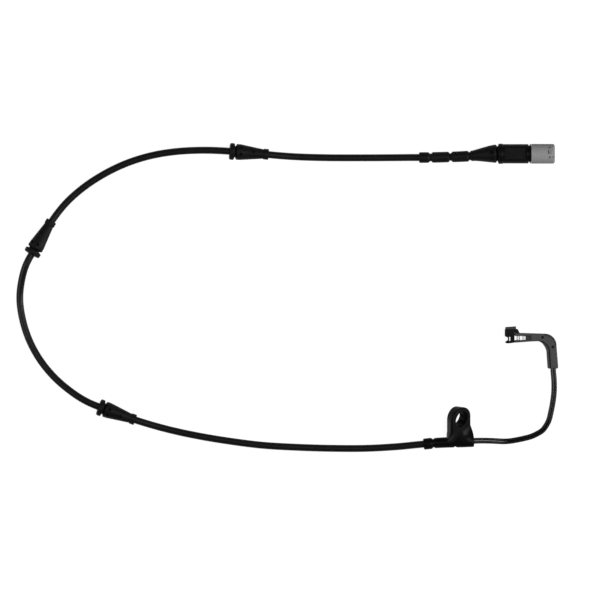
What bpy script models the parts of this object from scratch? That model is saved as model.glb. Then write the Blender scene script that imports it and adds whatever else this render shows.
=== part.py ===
"""Brake pad wear sensor: a two-wire lead with a round connector, three clamp grommets, a rubber
holder with an ear, and an L-shaped sensor head whose forked tip slides onto the pad.

It lies flat as it would on a bench: +X runs towards the connector, +Y up the drawing, +Z up.
Lengths are written in millimetres and turned into metres by mm().
"""

import math

import bmesh
import bpy
import numpy as np
from mathutils import Matrix, Vector

# The drawing's middle is shifted by this, so that the origin lies under the middle of the part
PLAN_CENTRE = (-2.91, -0.15)

# Fits
TOUCH_GAP = 0.3
BORE_GAP = 0.35
PLUG_GAP = 0.15
SOCKET_GAP = 0.25

# Sheathed lead and its two wires
JACKET_RADIUS = 2.2
WIRE_RADIUS = 0.825
WIRE_GAP = 0.3
SOCKET_DEPTH = 6.5
WIRE_SOCKET_DEPTH = 5.3

# Grommets: lengths along the axis, from the flange's face
ROUND_SIDES = 24
FLANGE_RADIUS = 5.46
FLANGE_LENGTH = 3.1
NECK_RADIUS = 3.5
NECK_SLOPE = 0.62
CONE_START = 4.7
CONE_RADIUS = 5.1
CONE_SWELL = 0.12
CONE_END = 22.0
CONE_TIP_RADIUS = 3.15
COLLAR_RADIUS = 3.42
GROMMET_LENGTH = 25.3
GROMMET_AXIS_HEIGHT = 5.67
GROMMET_PITCH = math.atan(0.0825)
DIMPLE_RADIUS = 0.75
DIMPLE_DEPTH = 1.0
# Each dimple's distance along the grommet, and its angle round it in degrees
GROMMET_DIMPLES = [(7.2, 68.5), (7.2, 111.5), (7.2, 248.5), (7.2, 291.5), (15.3, 90), (15.3, 270)]
# Where each flange's face lies in the plan, the way its narrow end points, and how it has rolled
GROMMETS = {
    "grommet_connector_end": (-43.16, 94.06, math.radians(-4.7), math.radians(10.0)),
    "grommet_middle": (-171.93, 27.04, math.radians(59.0), math.radians(17.5)),
    "grommet_sensor_end": (-128.31, -72.02, math.radians(-19.75), math.radians(-16.0)),
}

# Connector: places along +X in the plan
CONNECTOR_Y = 92.4
CONNECTOR_AXIS_HEIGHT = 6.6
# The boot's axis: x, y and height
BOOT_ROUTE = [(79.95, 89.96, 3.6), (88.4, 90.05, 3.6), (100.1, 90.35, 3.7), (108.0, 90.65, 3.95),
              (113.1, 90.95, 4.4), (120.4, 91.75, 5.55)]
BOOT_RADIUS = 3.45
# Its grooves: the middle's distance along the axis and the floor's radius
BOOT_GROOVES = [(7.5, 2.45), (20.45, 2.3), (32.95, 2.6)]
GROOVE_WIDTH = 2.8
GROOVE_FLOOR_WIDTH = 0.8
# The boot's cone after them: distance and radius
BOOT_CONE = [(36.5, 3.55), (38.6, 3.9), (40.6, 4.3), (43.2, 4.75), (45.8, 5.3), (48.4, 5.85)]
BOOT_STRAIGHT_END = 2.5
BOOT_END_RADIUS = 5.95
BOOT_END_CHAMFER = 1.2
BOOT_DIMPLE_DISTANCE = 46.9
BOOT_DIMPLE_SPACING = 3.8
HOUSING_START = 131.4
HOUSING_BEAD_LENGTH = 3.3
BODY_LENGTH = 16.25
SEAL_GROOVE_WIDTH = 1.1
SHOULDER_LENGTH = 0.75
SLEEVE_LENGTH = 15.4
HOUSING_BODY_START = HOUSING_START + HOUSING_BEAD_LENGTH
SEAL_GROOVE_START = HOUSING_BODY_START + BODY_LENGTH
SEAL_GROOVE_END = SEAL_GROOVE_START + SEAL_GROOVE_WIDTH
SHOULDER_END = SEAL_GROOVE_END + SHOULDER_LENGTH
SLEEVE_END = SHOULDER_END + SLEEVE_LENGTH
HOUSING_RADIUS = 6.17
HOUSING_FLANGE_RADIUS = 6.5
FLAT_HEIGHT = 5.0
FLAT_HALF_WIDTH = 3.65
FLAT_MARGIN = 0.9
FLAT_GROOVE_WIDTH = 0.55
FLAT_GROOVE_DEPTH = 0.8
SEAL_SEAT_RADIUS = 5.0
SEAL_THICKNESS = 0.5
SPIGOT_RADIUS = 4.7
SPIGOT_LENGTH = 3.2
SLEEVE_RADIUS = 6.4
SLEEVE_BORE_RADIUS = 4.95
CARRIER_LENGTH = 4.0
PIN_RADIUS = 0.75
PIN_PITCH = 4.0
PIN_RECESS = 4.7

# Rubber holder with its ear: the ear leans back from the lead and twists to face EAR_NORMAL
HOLDER_START = (82.9, -96.3)
HOLDER_BEND = [(0.0, 0.0), (6.2, 0.65), (15.3, 1.15), (32.7, 1.4)]
HOLDER_AXIS_HEIGHT = 3.7
HOLDER_LIP_RADIUS = 3.52
HOLDER_GROOVE = (6.35, 2.5)
HOLDER_TAPER_START = 24.0
HOLDER_RADIUS = 3.28
HOLDER_END_RADIUS = 3.02
EAR_LEAN = math.radians(24.45)
EAR_TWIST = math.radians(45.7)
EAR_UP = Vector((0, math.cos(EAR_LEAN), math.sin(EAR_LEAN)))
EAR_NORMAL = Matrix.Rotation(EAR_TWIST, 3, EAR_UP) @ Vector((1, 0, 0)).cross(EAR_UP)
EAR_TWIST_END = 6.5
EAR_CHAMFER = 0.7
EAR_CENTRE = (104.9, -79.3, 10.9)
EAR_THICKNESS = 6.8
EAR_FRONT_RADIUS = 8.45
EAR_BACK_RADIUS = 6.35
EAR_FRONT_RISE = 0.94
EAR_BACK_RISE = 1.1
EAR_HOLE_FRONT_RADIUS = 5.2
EAR_HOLE_BACK_RADIUS = 4.6
EAR_FOOT_HALF_WIDTH = 8.7
EAR_FOOT_HALF_THICKNESS = 3.1
EAR_FOOT_SHIFT = 2.2
HOLDER_NOTCH = (103.5, -98.7)

# Sensor head: its own drawing has its origin at the middle of the leg's wire end
HEAD_ORIGIN = (166.95, -47.2)
HEAD_THICKNESS = 5.0
HEAD_BEND_RADIUS = 7.64
HEAD_BEVEL = 0.4
LEDGE_DEPTH = 0.9
POCKET_DEPTH = 2.6
SLOT_CHAMFER = 0.4
LEG_OUTER = 3.45
LEG_INNER = -3.5
LEG_CORNER = 1.1
LEG_WAIST = (2.9, 8.0)
# Across the arm, from the leg's wire end: the arm's inner edge, then jaw, slot and jaw above it
ARM_INNER = 16.85
LOWER_JAW = 1.75
SLOT_WIDTH = 2.6
UPPER_JAW = 2.0
SLOT_BOTTOM = ARM_INNER + LOWER_JAW
SLOT_TOP = SLOT_BOTTOM + SLOT_WIDTH
ARM_OUTER = SLOT_TOP + UPPER_JAW
# Along the arm: the slot's end, and the jaws' end beyond it
SLOT_END = -17.75
JAW_LENGTH = 7.1
JAW_END = SLOT_END - JAW_LENGTH
# These are measured from the arm's inner edge
BEND_CENTRE = (-5.3, -1.75)
BEND_INNER_CURVE = [(-9.98, 0.99), (-7.2, 1.04), (-4.9, -2.45), (-4.2, -5.45)]
ARM_INNER_LINE = [(-20.05, 0.35), (-14.85, 0.75)]
LEDGE_CURVE = [(-9.4, 1.15), (-5.2, 0.95), (-2.7, -1.85), (-2.3, -5.45)]
LEDGE_CORNERS = [(-8.0, -6.85), (-10.5, -1.35)]
HEAD_DIMPLES = [(-6.8, 3.55), (-0.16, -2.75)]
HEAD_DIMPLE_RADIUS = 0.78
LEDGE_FOOT = [(-1.5, -1.0), (-8.0, -1.0)]
POCKET_LENGTH = 3.6
TONGUE_LENGTH = 1.9
TONGUE_HEIGHT = 2.0
TIP_THICKNESS = 5.5
TIP_PLATE_THICKNESS = 6.1
TIP_BEVEL = 0.2
# The tip, from the jaws' end: shoulder and outer face above the arm's outer edge, web beside the
# slot's middle, pointed foot beside the arm's inner edge
TIP_SHOULDER = [(3.25, 0.15), (2.1, 2.25), (1.65, 2.6), (-6.35, 2.55), (-6.45, -1.2)]
TIP_WEB = [(-6.25, 1.1), (-5.35, 0.7), (-4.6, 0.45), (-4.35, -0.5), (-4.55, -1.5), (-5.25, -1.85)]
TIP_FOOT = [(-6.05, 0.65), (-6.0, -0.1), (-4.75, -0.45), (-3.55, -0.4)]
TIP_PLATE = [(-6.05, 2.3), (0.85, 2.3), (0.85, 4.3), (-6.05, 3.8)]
TIP_WINDOW = [(-3.75, -1.8), (-2.8, -1.8), (-2.8, 0.75), (-3.75, 0.65), (-3.5, -0.5)]
LOOP_RADIUS = 0.2
LOOP_SETBACK = 1.77
LOOP_WIDTH = 1.36
LOOP_HEIGHT = 2.5
LOOP_SEAT_MARGIN = 0.52
SPRING_THICKNESS = 0.3
SPRING_SETBACK = 0.65
SPRING_WIDTH = 1.5


def mm(value):
    return value * 0.001


def plan(x, y, z):
    """A place in the drawing, in millimetres, as a point in metres."""
    return Vector((mm(x - PLAN_CENTRE[0]), mm(y - PLAN_CENTRE[1]), mm(z)))


# The sheathed lead from the connector boot to the holder: x, y and height
SHEATH_ROUTE = [
    (86.0, 90.0, 3.6), (80.6, 90.0, 3.5), (57.9, 89.8, 2.25), (25.4, 89.8, 2.2),
    (-0.7, 90.6, 2.35), (-21.8, 92.3, 3.9), (-34.1, 93.3, 4.92), (-46.4, 94.3, 5.94),
    (-53.8, 94.65, 6.1), (-83.1, 93.2, 2.6), (-94.6, 91.3, 2.2), (-106.3, 87.7, 2.2),
    (-129.4, 76.2, 2.2), (-147.8, 62.4, 2.4), (-157.2, 51.5, 3.35), (-160.9, 45.4, 3.9),
    (-167.2, 34.9, 4.92), (-173.6, 24.2, 5.94), (-175.7, 19.6, 6.05), (-178.7, 7.6, 3.9),
    (-179.5, 0.2, 2.6), (-179.2, -6.9, 2.2), (-174.5, -25.2, 2.2), (-169.4, -36.2, 2.25),
    (-162.2, -46.7, 2.55), (-153.3, -56.2, 3.5), (-137.6, -67.4, 5.8), (-131.4, -70.9, 5.94),
    (-119.7, -75.1, 4.92), (-108.1, -79.25, 3.9), (-88.1, -85.4, 2.3), (-62.1, -91.4, 2.2),
    (-46.5, -93.8, 2.2), (-30.9, -96.4, 2.2), (-15.3, -97.9, 2.2), (28.6, -99.0, 2.2),
    (62.7, -98.0, 2.6), (83.1, -96.2, 3.7), (88.2, -95.7, 3.7),
]

# The wires' common middle from the holder to the head
WIRE_ROUTE = [
    (111.6, -94.4, 3.7), (116.4, -94.1, 3.65), (120.9, -94.0, 3.2), (126.5, -94.1, 2.1),
    (130.7, -94.3, 1.3), (134.6, -94.5, 0.95), (138.8, -94.3, 0.9), (143.7, -93.5, 0.9),
    (148.9, -92.4, 0.9), (153.1, -91.2, 0.9), (157.0, -89.4, 0.9), (160.2, -87.3, 0.9),
    (162.6, -84.2, 0.9), (164.4, -80.6, 0.95), (165.7, -75.4, 1.1), (166.9, -69.2, 1.3),
    (167.6, -63.7, 1.6), (167.8, -58.5, 1.95), (167.6, -53.3, 2.3), (167.2, -48.8, 2.5),
    (166.95, -42.3, 2.5),
]


def smooth_curve(route, step):
    """Evenly spaced points on a smooth curve through the route's points (centripetal Catmull-Rom)."""
    given = np.array(route, float)
    given = np.vstack([2 * given[0] - given[1], given, 2 * given[-1] - given[-2]])
    dense = []
    for p0, p1, p2, p3 in zip(given, given[1:], given[2:], given[3:]):
        knots = [0.0]
        for a, b in ((p0, p1), (p1, p2), (p2, p3)):
            knots.append(knots[-1] + math.sqrt(np.linalg.norm(b - a)))
        t0, t1, t2, t3 = knots
        for t in np.linspace(t1, t2, 16, endpoint=False):
            a1 = ((t1 - t) * p0 + (t - t0) * p1) / (t1 - t0)
            a2 = ((t2 - t) * p1 + (t - t1) * p2) / (t2 - t1)
            a3 = ((t3 - t) * p2 + (t - t2) * p3) / (t3 - t2)
            b1 = ((t2 - t) * a1 + (t - t0) * a2) / (t2 - t0)
            b2 = ((t3 - t) * a2 + (t - t1) * a3) / (t3 - t1)
            dense.append(((t2 - t) * b1 + (t - t1) * b2) / (t2 - t1))
    dense.append(given[-2])
    dense = np.array(dense)
    along = np.concatenate([[0], np.cumsum(np.linalg.norm(np.diff(dense, axis=0), axis=1))])
    wanted = np.linspace(0, along[-1], max(2, round(along[-1] / step) + 1))
    return np.column_stack([np.interp(wanted, along, dense[:, axis]) for axis in range(3)])


def arc(centre, radius, start, end, count):
    """Points on an arc, with its angles in degrees."""
    angles = np.radians(np.linspace(start, end, count))
    return [(centre[0] + radius * math.cos(a), centre[1] + radius * math.sin(a)) for a in angles]


def bezier(p0, p1, p2, p3, count):
    ts = np.linspace(0, 1, count)
    p0, p1, p2, p3 = (np.array(p, float) for p in (p0, p1, p2, p3))
    points = [(1 - t) ** 3 * p0 + 3 * t * (1 - t) ** 2 * p1 + 3 * t * t * (1 - t) * p2 + t ** 3 * p3
              for t in ts]
    return [tuple(point) for point in points]


def clear_scene():
    for obj in list(bpy.data.objects):
        bpy.data.objects.remove(obj, do_unlink=True)


def material(name, colour, roughness, metallic=0.0):
    made = bpy.data.materials.new(name)
    made.use_nodes = True
    shader = made.node_tree.nodes["Principled BSDF"]
    shader.inputs["Base Color"].default_value = (*colour, 1.0)
    shader.inputs["Roughness"].default_value = roughness
    shader.inputs["Metallic"].default_value = metallic
    return made


def box_outline(x0, x1, y0, y1):
    return [(x0, y0), (x1, y0), (x1, y1), (x0, y1)]


def object_from(name, bm, finish=None, place=None):
    """A mesh object from a bmesh in metres, shaded smooth where its faces meet softly."""
    bmesh.ops.recalc_face_normals(bm, faces=bm.faces)
    mesh = bpy.data.meshes.new(name)
    bm.to_mesh(mesh)
    bm.free()
    mesh.shade_smooth()
    mesh.set_sharp_from_angle(angle=math.radians(35))
    obj = bpy.data.objects.new(name, mesh)
    bpy.context.scene.collection.objects.link(obj)
    if finish:
        mesh.materials.append(finish)
    if place:
        obj.matrix_world = place
    return obj


def with_stops(profile, longest):
    """The profile with extra points on its long runs, so that a bent piece bends evenly."""
    points = []
    for (d0, r0), (d1, r1) in zip(profile, profile[1:]):
        parts = max(1, math.ceil(abs(d1 - d0) / longest))
        points += [(d0 + (d1 - d0) * k / parts, r0 + (r1 - r0) * k / parts) for k in range(parts)]
    return points + [profile[-1]]


def turned(name, profile, finish=None, place=None, sides=ROUND_SIDES, frame_at=None):
    """A solid turned about +X from (distance, radius) pairs in millimetres.

    A profile that starts and ends on the axis is solid; any other one is closed into a ring, so a
    bore is drawn as its way back. frame_at bends the axis: it gives the frame at a distance.
    """
    bm = bmesh.new()
    rings = []
    for distance, radius in with_stops(profile, 4.0) if frame_at else profile:
        frame = frame_at(distance) if frame_at else Matrix.Translation((mm(distance), 0, 0))
        if radius == 0:
            rings.append([bm.verts.new(frame @ Vector((0, 0, 0)))])
            continue
        angles = [2 * math.pi * k / sides for k in range(sides)]
        rings.append([bm.verts.new(frame @ Vector((0, mm(radius) * math.cos(a), mm(radius) * math.sin(a))))
                      for a in angles])
    pairs = list(zip(rings, rings[1:]))
    if len(rings[0]) > 1:
        pairs.append((rings[-1], rings[0]))
    for first, second in pairs:
        for k in range(sides):
            corners = [first[k % len(first)], first[(k + 1) % len(first)],
                       second[(k + 1) % len(second)], second[k % len(second)]]
            bm.faces.new(dict.fromkeys(corners))
    return object_from(name, bm, finish, place)


def extruded(name, outline, low, high, finish=None, place=None):
    """A prism between two heights on an outline in millimetres."""
    bm = bmesh.new()
    face = bm.faces.new([bm.verts.new((mm(x), mm(y), mm(low))) for x, y in outline])
    sides = bmesh.ops.extrude_face_region(bm, geom=[face])["geom"]
    raised = [item for item in sides if isinstance(item, bmesh.types.BMVert)]
    bmesh.ops.translate(bm, verts=raised, vec=(0, 0, mm(high - low)))
    return object_from(name, bm, finish, place)


def combine(obj, other, operation):
    """A Boolean of obj with a helper, which is hidden and stays out of the model."""
    other.hide_render = True
    other.display_type = "WIRE"
    modifier = obj.modifiers.new(f"{operation.lower()} {other.name}", "BOOLEAN")
    modifier.operation = operation
    modifier.object = other
    modifier.solver = "EXACT"


def soften(obj, width, segments=2):
    """Rounds an object's hard edges."""
    modifier = obj.modifiers.new("soft edges", "BEVEL")
    modifier.width = mm(width)
    modifier.segments = segments
    modifier.limit_method = "ANGLE"
    modifier.angle_limit = math.radians(55)


def tube(name, points, radius, resolution, finish):
    """A cord: a curve with a round bevel and filled ends, on points in metres."""
    curve = bpy.data.curves.new(name, "CURVE")
    curve.dimensions = "3D"
    curve.bevel_depth = mm(radius)
    curve.bevel_resolution = resolution
    curve.use_fill_caps = True
    spline = curve.splines.new("POLY")
    spline.points.add(len(points) - 1)
    for point, place in zip(spline.points, points):
        point.co = (*place, 1.0)
    curve.materials.append(finish)
    obj = bpy.data.objects.new(name, curve)
    bpy.context.scene.collection.objects.link(obj)
    return obj


def pin_frame(origin, axis):
    """A frame at a point whose +X runs along an axis."""
    x = Vector(axis).normalized()
    side = Vector((0, 0, 1)) if abs(x.z) < 0.9 else Vector((0, 1, 0))
    y = side.cross(x).normalized()
    z = x.cross(y)
    frame = Matrix((x, y, z)).transposed().to_4x4()
    frame.translation = origin
    return frame


def bent_axis(route):
    """The frame at each distance along a smooth line through the route, and the line's length."""
    points = smooth_curve(route, 0.5)
    along = np.concatenate([[0], np.cumsum(np.linalg.norm(np.diff(points, axis=0), axis=1))])
    slopes = np.gradient(points, along, axis=0)

    def frame_at(distance):
        origin = [np.interp(distance, along, points[:, axis]) for axis in range(3)]
        slope = [np.interp(distance, along, slopes[:, axis]) for axis in range(3)]
        return pin_frame(plan(*origin), slope)

    return frame_at, float(along[-1])


def blind_hole(name, frame, radius, depth, sides=12, lead=1.0):
    """A cutter for a round hole that starts before the frame's origin and runs along its +X."""
    return turned(name, [(-lead, 0), (-lead, radius), (depth, radius), (depth, 0)], place=frame, sides=sides)


def make_sheath(finish):
    points = [plan(*point) for point in smooth_curve(SHEATH_ROUTE, 11.0)]
    tube("lead_sheath", points, JACKET_RADIUS, 3, finish)


def make_wires(finish):
    middle = smooth_curve(WIRE_ROUTE, 2.2 * 2 * WIRE_RADIUS)
    slopes = np.gradient(middle, axis=0)
    sideways = np.column_stack([-slopes[:, 1], slopes[:, 0]])
    sideways /= np.linalg.norm(sideways, axis=1)[:, None]
    apart = WIRE_RADIUS + WIRE_GAP / 2
    for name, side in (("wire_inner", 1), ("wire_outer", -1)):
        points = middle.copy()
        points[:, :2] += side * apart * sideways
        tube(name, [plan(*point) for point in points], WIRE_RADIUS, 2, finish)


def grommet_frame(x, y, heading, roll):
    """The frame of a grommet that lies on its flange and its collar, so its axis dips."""
    place = Matrix.Translation(plan(x, y, GROMMET_AXIS_HEIGHT)) @ Matrix.Rotation(heading, 4, "Z")
    return place @ Matrix.Rotation(GROMMET_PITCH, 4, "Y") @ Matrix.Rotation(roll, 4, "X")


def cone_radius_at(distance):
    share = (distance - CONE_START) / (CONE_END - CONE_START)
    return CONE_RADIUS + share * (CONE_TIP_RADIUS - CONE_RADIUS)


def grommet_profile():
    bore = JACKET_RADIUS + BORE_GAP
    middle = (CONE_START + CONE_END) / 2
    return [
        (0.0, FLANGE_RADIUS - 0.9), (0.35, FLANGE_RADIUS - 0.25), (1.0, FLANGE_RADIUS),
        (FLANGE_LENGTH - 1.0, FLANGE_RADIUS), (FLANGE_LENGTH - 0.35, FLANGE_RADIUS - 0.25),
        (FLANGE_LENGTH, FLANGE_RADIUS - 0.9),
        (FLANGE_LENGTH + NECK_SLOPE, NECK_RADIUS), (CONE_START - NECK_SLOPE, NECK_RADIUS),
        (CONE_START, CONE_RADIUS - 0.3), (CONE_START + 0.3, CONE_RADIUS),
        (middle, cone_radius_at(middle) + CONE_SWELL),
        (CONE_END - 0.4, CONE_TIP_RADIUS), (CONE_END, CONE_TIP_RADIUS - 0.05),
        (CONE_END + 0.45, COLLAR_RADIUS), (GROMMET_LENGTH - 0.4, COLLAR_RADIUS),
        (GROMMET_LENGTH, COLLAR_RADIUS - 0.35),
        (GROMMET_LENGTH, bore), (0.0, bore),
    ]


def make_grommets(finish):
    """Three like grommets; the small dimples are where pins held them in the mould."""
    for name, place in GROMMETS.items():
        frame = grommet_frame(*place)
        body = turned(name, grommet_profile(), finish, frame)
        for number, (distance, angle) in enumerate(GROMMET_DIMPLES):
            radius = cone_radius_at(distance)
            turn = Matrix.Rotation(math.radians(angle), 4, "X")
            at = frame @ turn @ pin_frame((mm(distance), mm(radius), 0), (0, -1, 0))
            dimple = blind_hole(f"{name} dimple {number}", at, DIMPLE_RADIUS, DIMPLE_DEPTH, 8)
            combine(body, dimple, "DIFFERENCE")


def socket_profile():
    """The start of a boot's profile: the blind bore that the lead goes into."""
    bore = JACKET_RADIUS + BORE_GAP
    return [(SOCKET_DEPTH, 0), (SOCKET_DEPTH, bore), (0, bore)]


def groove(middle, floor_radius, radius):
    """A groove with sloping sides, as part of a boot's profile."""
    top, floor = GROOVE_WIDTH / 2, GROOVE_FLOOR_WIDTH / 2
    return [(middle - top, radius), (middle - floor, floor_radius), (middle + floor, floor_radius),
            (middle + top, radius)]


def make_connector_boot(finish):
    """The grooved strain relief that is moulded onto the lead behind the connector."""
    end = HOUSING_START - TOUCH_GAP
    straight = [(end - BOOT_STRAIGHT_END, CONNECTOR_Y, CONNECTOR_AXIS_HEIGHT),
                (end, CONNECTOR_Y, CONNECTOR_AXIS_HEIGHT)]
    axis, length = bent_axis(BOOT_ROUTE + straight)
    profile = socket_profile() + [(0, BOOT_RADIUS - 0.4), (0.4, BOOT_RADIUS)]
    for middle, floor_radius in BOOT_GROOVES:
        profile += groove(middle, floor_radius, BOOT_RADIUS)
    profile += BOOT_CONE + [
        (length - 1.7, BOOT_END_RADIUS), (length - 1.0, BOOT_END_RADIUS - 0.15),
        (length, BOOT_END_RADIUS - BOOT_END_CHAMFER), (length, 0),
    ]
    boot = turned("connector_boot", profile, finish, frame_at=axis)
    radius = np.interp(BOOT_DIMPLE_DISTANCE, *zip(*BOOT_CONE))
    offset = BOOT_DIMPLE_SPACING / 2
    height = math.sqrt(radius ** 2 - offset ** 2)
    for number, side in enumerate((1, -1)):
        at = axis(BOOT_DIMPLE_DISTANCE) @ pin_frame((0, mm(side * offset), mm(height)), (0, 0, -1))
        combine(boot, blind_hole(f"boot dimple {number}", at, DIMPLE_RADIUS, DIMPLE_DEPTH, 8), "DIFFERENCE")


def connector_frame(x):
    return Matrix.Translation(plan(x, CONNECTOR_Y, CONNECTOR_AXIS_HEIGHT))


def make_connector_housing(finish):
    """The black body: a beaded flange, flats above and below, a seal groove and a spigot."""
    start = HOUSING_START
    bead_end = HOUSING_BODY_START - start
    body_end = SEAL_GROOVE_START - start
    shoulder = SEAL_GROOVE_END - start
    shoulder_end = SHOULDER_END - start
    profile = [
        (0, 0), (0, 4.7), (0.5, 5.9), (0.9, HOUSING_FLANGE_RADIUS - 0.1), (1.5, HOUSING_FLANGE_RADIUS),
        (2.3, HOUSING_FLANGE_RADIUS - 0.1), (2.8, HOUSING_RADIUS - 0.1), (bead_end, HOUSING_RADIUS),
        (body_end - 0.2, HOUSING_RADIUS), (body_end, HOUSING_RADIUS - 0.2), (body_end, SEAL_SEAT_RADIUS),
        (shoulder, SEAL_SEAT_RADIUS), (shoulder, HOUSING_RADIUS - 0.15), (shoulder + 0.15, HOUSING_RADIUS),
        (shoulder_end, HOUSING_RADIUS), (shoulder_end, SPIGOT_RADIUS),
        (shoulder_end + SPIGOT_LENGTH, SPIGOT_RADIUS), (shoulder_end + SPIGOT_LENGTH, 0),
    ]
    housing = turned("connector_housing", profile, finish, connector_frame(start), sides=32)
    flat_end = body_end - 2 * FLAT_MARGIN
    floor = FLAT_HEIGHT - FLAT_GROOVE_DEPTH
    outer = 2 * HOUSING_RADIUS
    for name, x, low in (("flat", bead_end + FLAT_MARGIN, FLAT_HEIGHT),
                         ("groove", flat_end - FLAT_GROOVE_WIDTH, floor)):
        outline = box_outline(x, flat_end, -FLAT_HALF_WIDTH, FLAT_HALF_WIDTH)
        for side, heights in (("top", (low, outer)), ("bottom", (-outer, -low))):
            cutter = extruded(f"housing {side} {name}", outline, *heights, place=connector_frame(start))
            combine(housing, cutter, "DIFFERENCE")
    return housing


def make_interface_seal(finish):
    """The rubber ring in the housing's groove."""
    width = SEAL_GROOVE_END - SEAL_GROOVE_START - 2 * PLUG_GAP
    inner = SEAL_SEAT_RADIUS + PLUG_GAP
    outer = inner + SEAL_THICKNESS
    profile = [(0, inner), (0, outer - 0.15), (0.2, outer), (width - 0.2, outer),
               (width, outer - 0.15), (width, inner)]
    turned("interface_seal", profile, finish, connector_frame(SEAL_GROOVE_START + PLUG_GAP), sides=32)


def make_connector_sleeve(finish):
    """The grey sleeve round the contacts, open at its mouth, with small moulded marks and a key slot."""
    length = SLEEVE_END - SHOULDER_END - PLUG_GAP
    profile = [
        (0, SLEEVE_BORE_RADIUS), (0, SLEEVE_RADIUS - 0.15), (0.15, SLEEVE_RADIUS),
        (length - 0.8, SLEEVE_RADIUS),
        (length, SLEEVE_RADIUS - 0.7), (length, SLEEVE_BORE_RADIUS + 0.2), (length - 0.2, SLEEVE_BORE_RADIUS),
    ]
    frame = connector_frame(SHOULDER_END + PLUG_GAP)
    sleeve = turned("connector_sleeve", profile, finish, frame, sides=32)
    for number, (back, across) in enumerate(((3.6, 4.2), (3.4, -2.1))):
        lift = math.sqrt(SLEEVE_RADIUS ** 2 - across ** 2)
        out = Vector((0, across, lift)).normalized()
        at = frame @ pin_frame((mm(length - back), mm(across), mm(lift)), -out)
        combine(sleeve, blind_hole(f"sleeve mark {number}", at, 0.45, 0.4, 8), "DIFFERENCE")
    bar = box_outline(length - 4.3, length - 3.7, 0.0, 2.3)
    combine(sleeve, extruded("sleeve bar mark", bar, SLEEVE_RADIUS - 0.75, 9.0, place=frame), "DIFFERENCE")
    key = box_outline(length - 1.6, length + 1.0, -2.7, -1.5)
    combine(sleeve, extruded("sleeve key slot", key, 3.0, 9.0, place=frame), "DIFFERENCE")


def make_contacts(carrier_finish, pin_finish):
    """The carrier at the bottom of the socket and the two pins that stand in it."""
    start = SHOULDER_END + SPIGOT_LENGTH + TOUCH_GAP
    carrier_radius = SLEEVE_BORE_RADIUS - PLUG_GAP
    profile = [(0, 0), (0, carrier_radius), (CARRIER_LENGTH - 0.3, carrier_radius),
               (CARRIER_LENGTH, carrier_radius - 0.3), (CARRIER_LENGTH, 0)]
    carrier = turned("contact_carrier", profile, carrier_finish, connector_frame(start), sides=32)
    for name, side in (("contact_pin_left", 1), ("contact_pin_right", -1)):
        frame = connector_frame(start) @ Matrix.Translation((0, mm(side * PIN_PITCH / 2), 0))
        hole = blind_hole(f"{name} hole", frame, PIN_RADIUS + PLUG_GAP, CARRIER_LENGTH + 1.0, 16)
        combine(carrier, hole, "DIFFERENCE")
        reach = SLEEVE_END - PIN_RECESS - start
        pin = [(0.3, 0), (0.3, PIN_RADIUS), (reach - 0.8, PIN_RADIUS), (reach - 0.2, 0.45), (reach, 0)]
        turned(name, pin, pin_finish, frame, sides=16)


def ear_section(height, reach):
    """The ear's section at a height above the lead: its middle, directions and half sizes."""
    share = min(1.0, height / (reach - EAR_TWIST_END))
    turned_by = share * share * (3 - 2 * share) * EAR_TWIST
    turn = Matrix.Rotation(turned_by, 3, EAR_UP)
    width_way = turn @ Vector((1, 0, 0))
    normal = turn @ Vector((1, 0, 0)).cross(EAR_UP)
    foot = (1 - share) ** 2
    middle = Vector(EAR_CENTRE) - (reach - height) * EAR_UP + (1 - share) * Vector((EAR_FOOT_SHIFT, 0, 0))
    front = EAR_FRONT_RADIUS + foot * (EAR_FOOT_HALF_WIDTH - EAR_FRONT_RADIUS)
    back = EAR_BACK_RADIUS + (1 - share) * (EAR_FOOT_HALF_WIDTH - EAR_BACK_RADIUS)
    thick = EAR_THICKNESS / 2 + (1 - share) * (EAR_FOOT_HALF_THICKNESS - EAR_THICKNESS / 2)
    return middle, width_way, normal, front, back, thick


def ear_ring(section, angle=0.0):
    """Eight corners of the ear with its edges chamfered; an angle carries them up the arch."""
    middle, width_way, normal, front, back, thick = section
    soft = EAR_CHAMFER
    right = [(back - soft, -thick), (back, soft - thick), (front, thick - soft), (front - soft, thick)]
    corners = [(1, *corner) for corner in right] + [(-1, *corner) for corner in reversed(right)]
    across, up = math.cos(angle), math.sin(angle)
    return [middle + side * radius * across * width_way + depth * normal
            + radius * up * (EAR_FRONT_RISE if depth > 0 else EAR_BACK_RISE) * EAR_UP
            for side, radius, depth in corners]


def ear_solid():
    """The ear: a blade that stands on the holder, twists until it faces EAR_NORMAL, and arches over."""
    reach = (EAR_CENTRE[2] - HOLDER_AXIS_HEIGHT) / EAR_UP.z
    rings = [ear_ring(ear_section(float(height), reach)) for height in np.linspace(0, reach, 11)]
    top = ear_section(reach, reach)
    rings += [ear_ring(top, math.radians(angle)) for angle in range(10, 100, 10)]
    bm = bmesh.new()
    made = [[bm.verts.new(plan(*point)) for point in ring] for ring in rings]
    for first, second in zip(made, made[1:]):
        for k in range(8):
            bm.faces.new([first[k], first[(k + 1) % 8], second[(k + 1) % 8], second[k]])
    bm.faces.new(made[0])
    bmesh.ops.remove_doubles(bm, verts=bm.verts, dist=mm(0.001))
    return object_from("ear", bm)


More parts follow.
